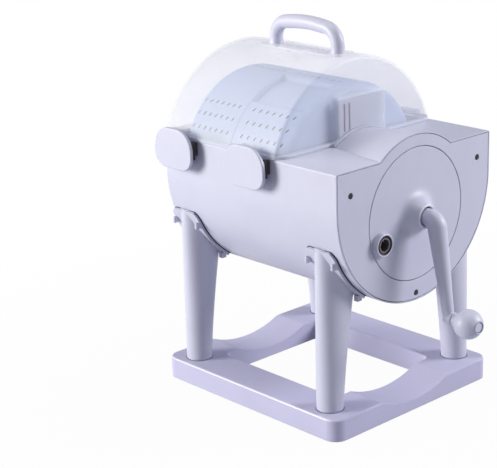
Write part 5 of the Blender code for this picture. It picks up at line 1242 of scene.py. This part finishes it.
def dome(name, offset):
    """The lid's round body, shrunk by offset, as a turned solid with rounded ends."""
    left, right = LID_LEFT + offset, LID_RIGHT - offset
    radius = LID_RADIUS - offset
    edge = LID_EDGE - offset
    profile = [(left, 0)]
    profile += arc((left + edge, radius - edge), edge, 180, 90, 12)
    profile += arc((right - edge, radius - edge), edge, 90, 0, 12)
    profile += [(right, 0)]
    return turned(name, profile, LID_AXIS, DOME_STEPS)


def latch_ear(x):
    """An ear on the lid's front that carries one end of a latch pin."""
    outline = arc(LATCH_AXIS, BARREL_RADIUS, 90, 270, 6)
    outline.append((-TUB_RADIUS + OVERLAP, DECK_Z + SEAT + 0.0005))
    outline.append((-TUB_RADIUS + 0.005, DECK_Z + 0.0115))
    return slab("latch_ear", outline, x, EAR_THICKNESS / 2)


def lid_knuckle(x):
    """The lid's half of a hinge: a barrel with an arm to the rim."""
    low = DECK_Z + 2 * SEAT
    outline = arc(HINGE_AXIS, HINGE_RADIUS, -90, 90, 6)
    outline += [(TUB_RADIUS, DECK_Z + RIM_HEIGHT), (TUB_RADIUS, low), (HINGE_Y - HINGE_RADIUS, low)]
    return slab("knuckle", outline, x, HINGE_HALF)


def bulge_skirt(start, end):
    """The rim round the foot of the bulge, where it stands on the hump."""
    skirt = hump_cone("bulge_rim", RIM_HEIGHT, start, end)
    side = BULGE_HALF + SKIRT_REACH
    cut(skirt, box("skirt_front", (-0.1, -OUTSIDE, 0), (OUTSIDE, -side, 0.6)))
    cut(skirt, box("skirt_rear", (-0.1, side, 0), (OUTSIDE, OUTSIDE, 0.6)))
    return skirt


def lid_shell():
    """The clear lid: a dome with a rim, and a square bulge over the gear case's hump."""
    low = DECK_Z + SEAT
    lid = dome("lid", 0)
    half_x = (RIM_RIGHT - TUB_LEFT + RIM_OVERHANG) / 2
    middle = (RIM_RIGHT + TUB_LEFT - RIM_OVERHANG) / 2
    rim = rounded_rectangle(half_x, TUB_RADIUS + RIM_OVERHANG, RIM_CORNER, 12, (middle, 0))
    join(lid, prism("lid_rim", rim, low - RIM_DEPTH, low + RIM_HEIGHT, "Z", RIM_EDGE, 3))
    start, end = LID_RIGHT - BULGE_ROOT, LID_RIGHT + BULGE_FINE_REACH
    low_corner = (start, -BULGE_HALF, low - RIM_DEPTH)
    join(lid, box("bulge", low_corner, (end, BULGE_HALF, BULGE_TOP), BULGE_EDGE, 8))
    join(lid, hump_cone("rim_over_hump", RIM_HEIGHT, start, RIM_RIGHT))
    join(lid, bulge_skirt(start, end + SKIRT_REACH))
    for x in LATCH_X:
        for side in (-1, 1):
            join(lid, latch_ear(x + side * (BARREL_HALF + RUNNING + EAR_THICKNESS / 2)))
    cut(lid, dome("dome_space", LID_WALL))
    half = BULGE_HALF - LID_WALL
    low_corner = (start + 0.004, -half, low - 0.03)
    high_corner = (end - LID_WALL, half, BULGE_TOP - LID_WALL)
    cut(lid, box("bulge_space", low_corner, high_corner, BULGE_EDGE - LID_WALL, 8))
    cut(lid, hump_cone("hump_clearance", SEAT, start - PAST, end + 2 * PAST))
    cut(lid, box("deck_plane", (-OUTSIDE, -OUTSIDE, -0.1), (OUTSIDE, OUTSIDE, low)))
    for x in HINGE_X:
        join(lid, lid_knuckle(x))
    for axis in (HINGE_AXIS, LATCH_AXIS):
        cut(lid, rod("pin_hole", *PIN_SPAN, PIN_RADIUS + SEAT, axis, 20))
    for x in HANDLE_SCREW_X:
        cut(lid, peg("handle_hole", LID_TOP - PAST, HANDLE_TOP, SCREW_RADIUS + SEAT, x, 0, 20))
    paint(piece(lid, "lid_shell", "lid", "clear"), "rim", in_rim)
    bulge_ribs(end)


def in_rim(place, _):
    """Picks the lid's rim, which is milky where it lies on the deck and on the hump."""
    hump = hump_radius(place.x) + RIM_HEIGHT + RIM_MARGIN
    on_hump = place.x > LID_RIGHT - 0.004 and hypot(place.y, place.z - CRANK_AXIS_Z) < hump
    return place.z < DECK_Z + RIM_HEIGHT + RIM_MARGIN or on_hump


def bulge_ribs(end):
    """Thin ribs in the end wall of the bulge, given a dark brown finish as painted shade, for the
    dark lines they show through the frosted lid.
    """
    low, high = (DECK_Z + BULGE_RISE * share for share in BULGE_RIB_SPAN)
    for i, y in enumerate(BULGE_RIBS):
        low_corner = (end - 0.0010, y - BULGE_RIB_HALF, low)
        high_corner = (end + 0.0004, y + BULGE_RIB_HALF, high)
        rib = box("rib", low_corner, high_corner, 0.0004)
        free_piece(rib, "bulge_rib_%d" % (i + 1), "lid", "rib")


def handle_route():
    """Points (x, z, radius) from the left foot over the bowed bar to the right foot."""
    left = HANDLE_X - HANDLE_SPAN
    top = HANDLE_TOP - HANDLE_RADIUS - HANDLE_SWELL
    side = top - HANDLE_ARCH - HANDLE_CORNER
    foot = LID_TOP - HANDLE_ROOT
    points = []
    for share in spaced(0, 1, 8):
        flare = HANDLE_FOOT_FLARE * (1 - share) ** 2
        points.append((left, foot + (side - foot - 0.001) * share, HANDLE_RADIUS + flare))
    for x, z in arc((left + HANDLE_CORNER, side), HANDLE_CORNER, 180, 90, 20):
        points.append((x, z, HANDLE_RADIUS))
    half_bar = HANDLE_SPAN - HANDLE_CORNER
    for i in range(1, 12):
        share = 1 - i / 12
        z = top - HANDLE_ARCH * share**2
        points.append((HANDLE_X - half_bar * share, z, HANDLE_RADIUS + HANDLE_SWELL))
    return points + [(2 * HANDLE_X - x, z, radius) for x, z, radius in reversed(points)]


def dome_seat():
    """The lid's outside, taken out of what stands on it."""
    return rod("dome_seat", LID_LEFT, LID_RIGHT + 0.05, LID_RADIUS + SEAT, LID_AXIS, 240)


def lid_handle():
    """A bowed handle whose feet flare into a frosted oval pad on the lid."""
    handle = tube_along("handle", handle_route())
    cut(handle, dome_seat())
    low = LID_TOP - 0.03
    for x in HANDLE_SCREW_X:
        cut(handle, peg("handle_pilot", low, low + 0.046, SCREW_RADIUS + SEAT, x, 0, 20))
    piece(handle, "lid_handle", "lid", "body")
    half_y = PAD_WIDTH / 2
    outline = rounded_rectangle(PAD_LENGTH / 2, half_y, half_y - 0.002, 16, (HANDLE_X, 0))
    low_face, top_face = LID_TOP - HANDLE_PAD_ROOT, LID_TOP + PAD_HEIGHT
    pad = prism("handle_pad", outline, low_face, top_face, "Z", HANDLE_PAD_EDGE, 4)
    cut(pad, dome_seat())
    for x in HANDLE_SCREW_X:
        cut(pad, peg("foot_way", low, HANDLE_TOP, HANDLE_RADIUS + 0.0022, x, 0, 40))
    free_piece(pad, "handle_pad", "lid", "clear")


def latch_outline(x):
    """The pebble shape of a latch plate, rounder at the top than at the bottom."""
    half = LATCH_WIDTH / 2
    high, low = LATCH_TOP_CORNER, LATCH_LOW_CORNER
    points = arc((x + half - high, LATCH_TOP - high), high, 0, 90, 20)
    points += arc((x - half + high, LATCH_TOP - high), high, 90, 180, 20)
    points += arc((x - half + low, LATCH_BOTTOM + low), low, 180, 270, 16)
    points += arc((x + half - low, LATCH_BOTTOM + low), low, 270, 360, 16)
    return points


def latch_hook(x, back):
    """The tooth that catches under the keeper."""
    top = KEEPER_BOTTOM - SEAT
    tip = -TUB_RADIUS - HOOK_TIP_GAP
    root = back - OVERLAP
    low = top - HOOK_HEIGHT - HOOK_SLOPE
    outline = [(root, low), (root, top), (tip, top), (tip, top - HOOK_LIP)]
    return slab("latch_hook", outline, x, HOOK_HALF)


def latch_rib(x, back):
    """A low rib on the back of a latch plate."""
    outline = [(back - OVERLAP, LATCH_BOTTOM + 0.008), (back - OVERLAP, LATCH_PIVOT_Z - 0.006)]
    outline += [(back + 0.0035, LATCH_PIVOT_Z - 0.012), (back + 0.0055, LATCH_BOTTOM + 0.016)]
    return slab("latch_rib", outline, x, LATCH_RIB_HALF)


def latch_shade_block(x, back):
    """The dark stepped block behind the right edge of a latch plate: a near-black sheet of painted
    shade for the shadowed gap beside the plate.
    """
    start = x + LATCH_WIDTH / 2 - SHADE_BLOCK_INSET - SHADE_BLOCK_WIDTH
    depth, rise = SHADE_BLOCK_STEP
    near = -TUB_RADIUS - SHADE_BLOCK_GAP
    far = back + 0.0002
    top = DECK_Z - 0.001
    low = top - SHADE_BLOCK_DROP
    outline = [(far, top), (near, top), (near, low + rise), (near - depth, low + rise)]
    outline += [(near - depth, low), (far, low)]
    return prism("bracket", outline, start, start + SHADE_BLOCK_WIDTH)


def latches():
    back = LATCH_FACE_Y + LATCH_THICKNESS
    for side, x in zip(SIDES, LATCH_X):
        low, high = x - BARREL_HALF, x + BARREL_HALF
        latch = prism("latch", latch_outline(x), back, LATCH_FACE_Y, "Y", LATCH_EDGE, 5)
        join(latch, rod("barrel", low, high, BARREL_RADIUS, LATCH_AXIS, 32))
        arm_low = (low, back - OVERLAP, LATCH_PIVOT_Z - 0.0028)
        join(latch, box("latch_arm", arm_low, (high, LATCH_PIVOT_Y, LATCH_PIVOT_Z + 0.0012)))
        join(latch, latch_hook(x, back))
        for rib_side in (-1, 1):
            join(latch, latch_rib(x + rib_side * (HOOK_HALF + 0.008), back))
        cut(latch, rod("pin_hole", x - 0.03, x + 0.03, PIN_RADIUS + SEAT, LATCH_AXIS, 20))
        body = "latch_" + side
        piece(latch, body, body, "body")
        # A near-black block rides on each latch as painted shade in the gap beside the plate.
        free_piece(latch_shade_block(x, back), "shade_block_" + side, body, "shade")


def add_node(nodes, kind, **settings):
    node = nodes.new("ShaderNode" + kind)
    for name, value in settings.items():
        setattr(node, name, value)
    return node


def fill_inputs(node, values):
    for name, value in values.items():
        node.inputs[name].default_value = value


def map_range(nodes, links, source, start, end):
    """Spreads a value that runs over start's two numbers over end's two numbers."""
    spread = add_node(nodes, "MapRange")
    fill_inputs(spread, dict(zip(("From Min", "From Max", "To Min", "To Max"), start + end)))
    links.new(source, spread.inputs["Value"])
    return spread


def mapped_noise(nodes, links, scale, detail, low, high):
    """A noise value spread between low and high."""
    place = add_node(nodes, "TexCoord")
    noise = add_node(nodes, "TexNoise")
    fill_inputs(noise, {"Scale": scale, "Detail": detail})
    links.new(place.outputs["Object"], noise.inputs["Vector"])
    return map_range(nodes, links, noise.outputs["Fac"], (0.3, 0.7), (low, high)).outputs["Result"]


def softened_edges(nodes, links, edge, bump):
    """Lets the light see rounded edges where the mesh has sharp ones."""
    rounding = add_node(nodes, "Bevel", samples=4)
    fill_inputs(rounding, {"Radius": edge})
    links.new(rounding.outputs["Normal"], bump.inputs["Normal"])


def finish(name, colour, roughness, cloud=0.03, grain=1400, relief=0.00002, edge=0.0,
           metallic=0.0, alpha=1.0, shine=0.5, painted_glow=0.0):
    """A material with a faint cloudiness, a moulded or rolled grain, softened edges and, where asked
    for, an emission as painted light.
    """
    made = bpy.data.materials.new(name)
    made.use_nodes = True
    nodes, links = made.node_tree.nodes, made.node_tree.links
    shader = nodes["Principled BSDF"]
    darker = tuple(value * (1 - cloud) for value in colour) + (1.0,)
    lighter = tuple(min(1.0, value * (1 + cloud)) for value in colour) + (1.0,)
    mix = add_node(nodes, "Mix", data_type="RGBA")
    fill_inputs(mix, {"A": darker, "B": lighter})
    links.new(mapped_noise(nodes, links, 14, 4, 0, 1), mix.inputs["Factor"])
    links.new(mix.outputs["Result"], shader.inputs["Base Color"])
    rough = mapped_noise(nodes, links, 60, 3, roughness * 0.92, roughness * 1.08)
    links.new(rough, shader.inputs["Roughness"])
    bump = add_node(nodes, "Bump")
    fill_inputs(bump, {"Strength": 0.6, "Distance": relief})
    links.new(mapped_noise(nodes, links, grain, 2, 0, 1), bump.inputs["Height"])
    if edge:
        softened_edges(nodes, links, edge, bump)
    links.new(bump.outputs["Normal"], shader.inputs["Normal"])
    fill_inputs(shader, {
        "Metallic": metallic,
        "Specular IOR Level": shine,
        "Alpha": alpha,
        "Emission Color": lighter,
        # Any emission here is painted light, not a lamp.
        "Emission Strength": painted_glow,
    })
    made.diffuse_color = tuple(colour) + (alpha,)
    return made


FINISHES = {
    "body": finish("lavender_plastic", BODY_COLOUR, 0.42, edge=0.0007),
    "body_low": finish("lavender_base", LOW_COLOUR, 0.58, edge=0.0007, shine=0.25),
    # The frosted lid takes a faint emission, painted light for light scattered inside the milky
    # plastic.
    "clear": finish("frosted_plastic", (0.80, 0.80, 0.86), 0.36, cloud=0.02, relief=0.000005,
                    alpha=0.28, shine=0.3, painted_glow=0.10),
    # The drum takes a faint emission, painted light that brightens it under the milky lid.
    "drum": finish("blue_plastic", (0.36, 0.46, 0.68), 0.45, edge=0.0006, shine=0.3, painted_glow=0.08),
    "hole": finish("hole_shade", (0.04, 0.075, 0.26), 0.80, shine=0.1),
    "shade": finish("brown_shade", (0.055, 0.042, 0.055), 0.60, shine=0.2),
    # Dark brown finish on the bulge's ribs: painted shade for the lines they show through the lid.
    "rib": finish("rib_painted_shade", (0.36, 0.31, 0.38), 0.60, shine=0.2),
    "rim": finish("milky_rim", (0.66, 0.675, 0.78), 0.36, cloud=0.02, alpha=0.72, shine=0.4),
    # Lighter finish on the base's front top edge: a painted highlight.
    "edge": finish("painted_highlight_edge", (0.68, 0.675, 0.80), 0.30),
    # Lighter finish on the mouth's bead: a painted highlight.
    "lip": finish("painted_highlight_lip", (0.74, 0.74, 0.84), 0.30),
    # Near-black finish as painted shade: the second socket's recess, and the low pinion seen down it.
    "socket": finish("socket_painted_shade", (0.13, 0.115, 0.125), 0.35),
    # Near-black finish as painted shade, for the crank's bush inside the mouth.
    "gear": finish("dark_bush_painted_shade", (0.06, 0.06, 0.07), 0.45),
    "inner": finish("white_acetal", (0.75, 0.75, 0.72), 0.45),
    "rubber": finish("black_rubber", (0.02, 0.02, 0.022), 0.80, cloud=0.15, grain=600,
                     relief=0.00006),
    "grey_rubber": finish("grey_rubber", (0.42, 0.42, 0.55), 0.70, cloud=0.08, grain=600,
                          relief=0.00005),
    "steel": finish("zinc_steel", (0.60, 0.60, 0.62), 0.32, cloud=0.06, grain=900, metallic=1.0),
    # Black for the panel screws; on the crank's shaft it is painted shade inside the mouth.
    "dark_steel": finish("black_screw_and_shaft_shade", (0.02, 0.02, 0.025), 0.50, cloud=0.10, grain=900,
                         metallic=0.4),
    # Near-black strips in the joints: painted shadow.
    "seam": finish("seam_shadow", (0.012, 0.012, 0.03), 0.90, cloud=0.10),
}

KEPT = {
    # The crank's bush is near-black as painted shade inside the crank's mouth.
    "gear": ["crank_bush"],
    # The low pinion, seen down the second socket, takes the same painted shade.
    "socket": ["low_pinion"],
    "inner": ["drive_gear", "drum_pinion", "gear_bracket", "drive_bush", "idle_bush"],
    # The crank's shaft is black as painted shade inside the crank's mouth; the panel screws are black
    # screws.
    "dark_steel": ["panel_screw_front", "panel_screw_rear", "panel_screw_low", "crank_shaft"],
    "rubber": ["shaft_seal"] + ["foot_" + name for name in CORNERS],
    "grey_rubber": ["drain_plug"],
    "body": ["idle_cap", "knob_spindle"],
    "drum": ["drum_door", "door_rail_left", "door_rail_right", "drum_lifter_1", "drum_lifter_2"],
    "steel": ["drum_shaft", "idle_axle"]
    + [kind + side for kind in ("hinge_pin_", "latch_pin_", "handle_screw_") for side in SIDES]
    + ["leg_screw_" + name for name in CORNERS],
}


def dress_kept_nodes():
    """Gives the CAD nodes that stay as they are their finishes."""
    for name, nodes in KEPT.items():
        for node in nodes:
            mesh = frame["nodes"][node].data
            for i in range(len(mesh.materials)):
                mesh.materials[i] = FINISHES[name]
            mesh.shade_smooth()
            mesh.set_sharp_from_angle(angle=radians(32))


def maths(nodes, links, operation, first, second):
    """The value that an operation makes of two others."""
    node = add_node(nodes, "Math", operation=operation)
    links.new(first, node.inputs[0])
    links.new(second, node.inputs[1])
    return node.outputs["Value"]


def show_as_white(nodes, links, shader):
    """Mixes plain white into what is seen or mirrored of the floor, fully so further away."""
    rays = add_node(nodes, "LightPath").outputs
    seen = maths(nodes, links, "MAXIMUM", rays["Is Camera Ray"], rays["Is Glossy Ray"])
    through = maths(nodes, links, "MAXIMUM", seen, rays["Is Transmission Ray"])
    place = add_node(nodes, "TexCoord")
    away = add_node(nodes, "VectorMath", operation="LENGTH")
    links.new(place.outputs["Object"], away.inputs[0])
    fade = map_range(nodes, links, away.outputs["Value"], FLOOR_FADE, (FLOOR_WHITE, 1.0))
    fade.interpolation_type = "SMOOTHSTEP"
    share = maths(nodes, links, "MULTIPLY", through, fade.outputs["Result"])
    white = add_node(nodes, "Emission")
    fill_inputs(white, {"Strength": 1.0})
    mix = add_node(nodes, "MixShader")
    links.new(share, mix.inputs["Fac"])
    links.new(shader.outputs["BSDF"], mix.inputs[1])
    links.new(white.outputs["Emission"], mix.inputs[2])
    links.new(mix.outputs["Shader"], nodes["Material Output"].inputs["Surface"])


def floor():
    material = finish("white_floor", FLOOR_COLOUR, 0.90, cloud=0.01, grain=300)
    nodes, links = material.node_tree.nodes, material.node_tree.links
    show_as_white(nodes, links, nodes["Principled BSDF"])
    mesh = bpy.data.meshes.new("floor")
    corners = [(-1, -1), (1, -1), (1, 1), (-1, 1)]
    places = [(x * FLOOR_REACH, y * FLOOR_REACH, 0) for x, y in corners]
    mesh.from_pydata(places, [], [(0, 1, 2, 3)])
    mesh.materials.append(material)
    obj = new_object("floor", mesh)


def lamp(name, side, size, power, colour, rise=LAMP_RISE):
    """A soft disc that lights the machine from one side, given as an angle from the crank's end."""
    light = bpy.data.lights.new(name, "AREA")
    light.shape = "DISK"
    light.size = size
    light.energy = power
    light.color = colour
    obj = new_object(name, light)
    level = LAMP_DISTANCE * cos(radians(rise))
    x, y = level * cos(radians(side)), level * sin(radians(side))
    place = Vector((x, y, LAMP_DISTANCE * sin(radians(rise))))
    obj.location = Vector((0, 0, LAMP_TARGET)) + place
    obj.rotation_euler = place.to_track_quat("Z", "Y").to_euler()


def studio():
    """A soft lamp on either side of the view, a plain pale floor, and a white backdrop."""
    world = bpy.data.worlds.new("studio")
    SCENE.world = world
    world.use_nodes = True
    nodes, links = world.node_tree.nodes, world.node_tree.links
    background = nodes["Background"]
    fill_inputs(background, {"Color": (*WORLD_COLOUR, 1.0), "Strength": WORLD_LIGHT})
    backdrop = add_node(nodes, "Background")
    fill_inputs(backdrop, {"Color": (1.0, 1.0, 1.0, 1.0), "Strength": 1.0})
    choose = add_node(nodes, "MixShader")
    links.new(add_node(nodes, "LightPath").outputs["Is Camera Ray"], choose.inputs["Fac"])
    links.new(background.outputs["Background"], choose.inputs[1])
    links.new(backdrop.outputs["Background"], choose.inputs[2])
    links.new(choose.outputs["Shader"], nodes["World Output"].inputs["Surface"])
    lamp("key", KEY_SIDE, 1.4, KEY_POWER, KEY_COLOUR, KEY_RISE)
    lamp("fill", FILL_SIDE, 1.4, FILL_POWER, (1.0, 1.0, 1.0))
    lamp("top", 0, 1.2, TOP_POWER, (1.0, 1.0, 1.0), 90)
    floor()


def camera():
    data = bpy.data.cameras.new("camera")
    data.lens = CAMERA_LENS
    data.sensor_width = CAMERA_SENSOR
    data.sensor_fit = "HORIZONTAL"
    data.clip_end = 100
    obj = new_object("camera", data)
    place = Vector(CAMERA_PLACE) + SHIFT
    target = Vector(CAMERA_TARGET) + SHIFT
    turn = (target - place).to_track_quat("-Z", "Y").to_matrix().to_4x4()
    roll = Matrix.Rotation(radians(CAMERA_ROLL), 4, "Z")
    obj.matrix_world = Matrix.Translation(place) @ turn @ roll
    SCENE.camera = obj


frame_low, frame_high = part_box("base_frame")
SHIFT = Vector(((frame_low.x + frame_high.x) / 2, (frame_low.y + frame_high.y) / 2, 0))

base_frame()
legs()
tub_shell()
end_seams()
drive_end_panel()
gear_cover()
crank_arm()
crank_knob()
drum_left_half()
drum_right_half()
lid_shell()
lid_handle()
latches()
dress_kept_nodes()
studio()
camera()
bpy.data.collections.remove(HELPERS)
SCENE.view_settings.view_transform = "Standard"
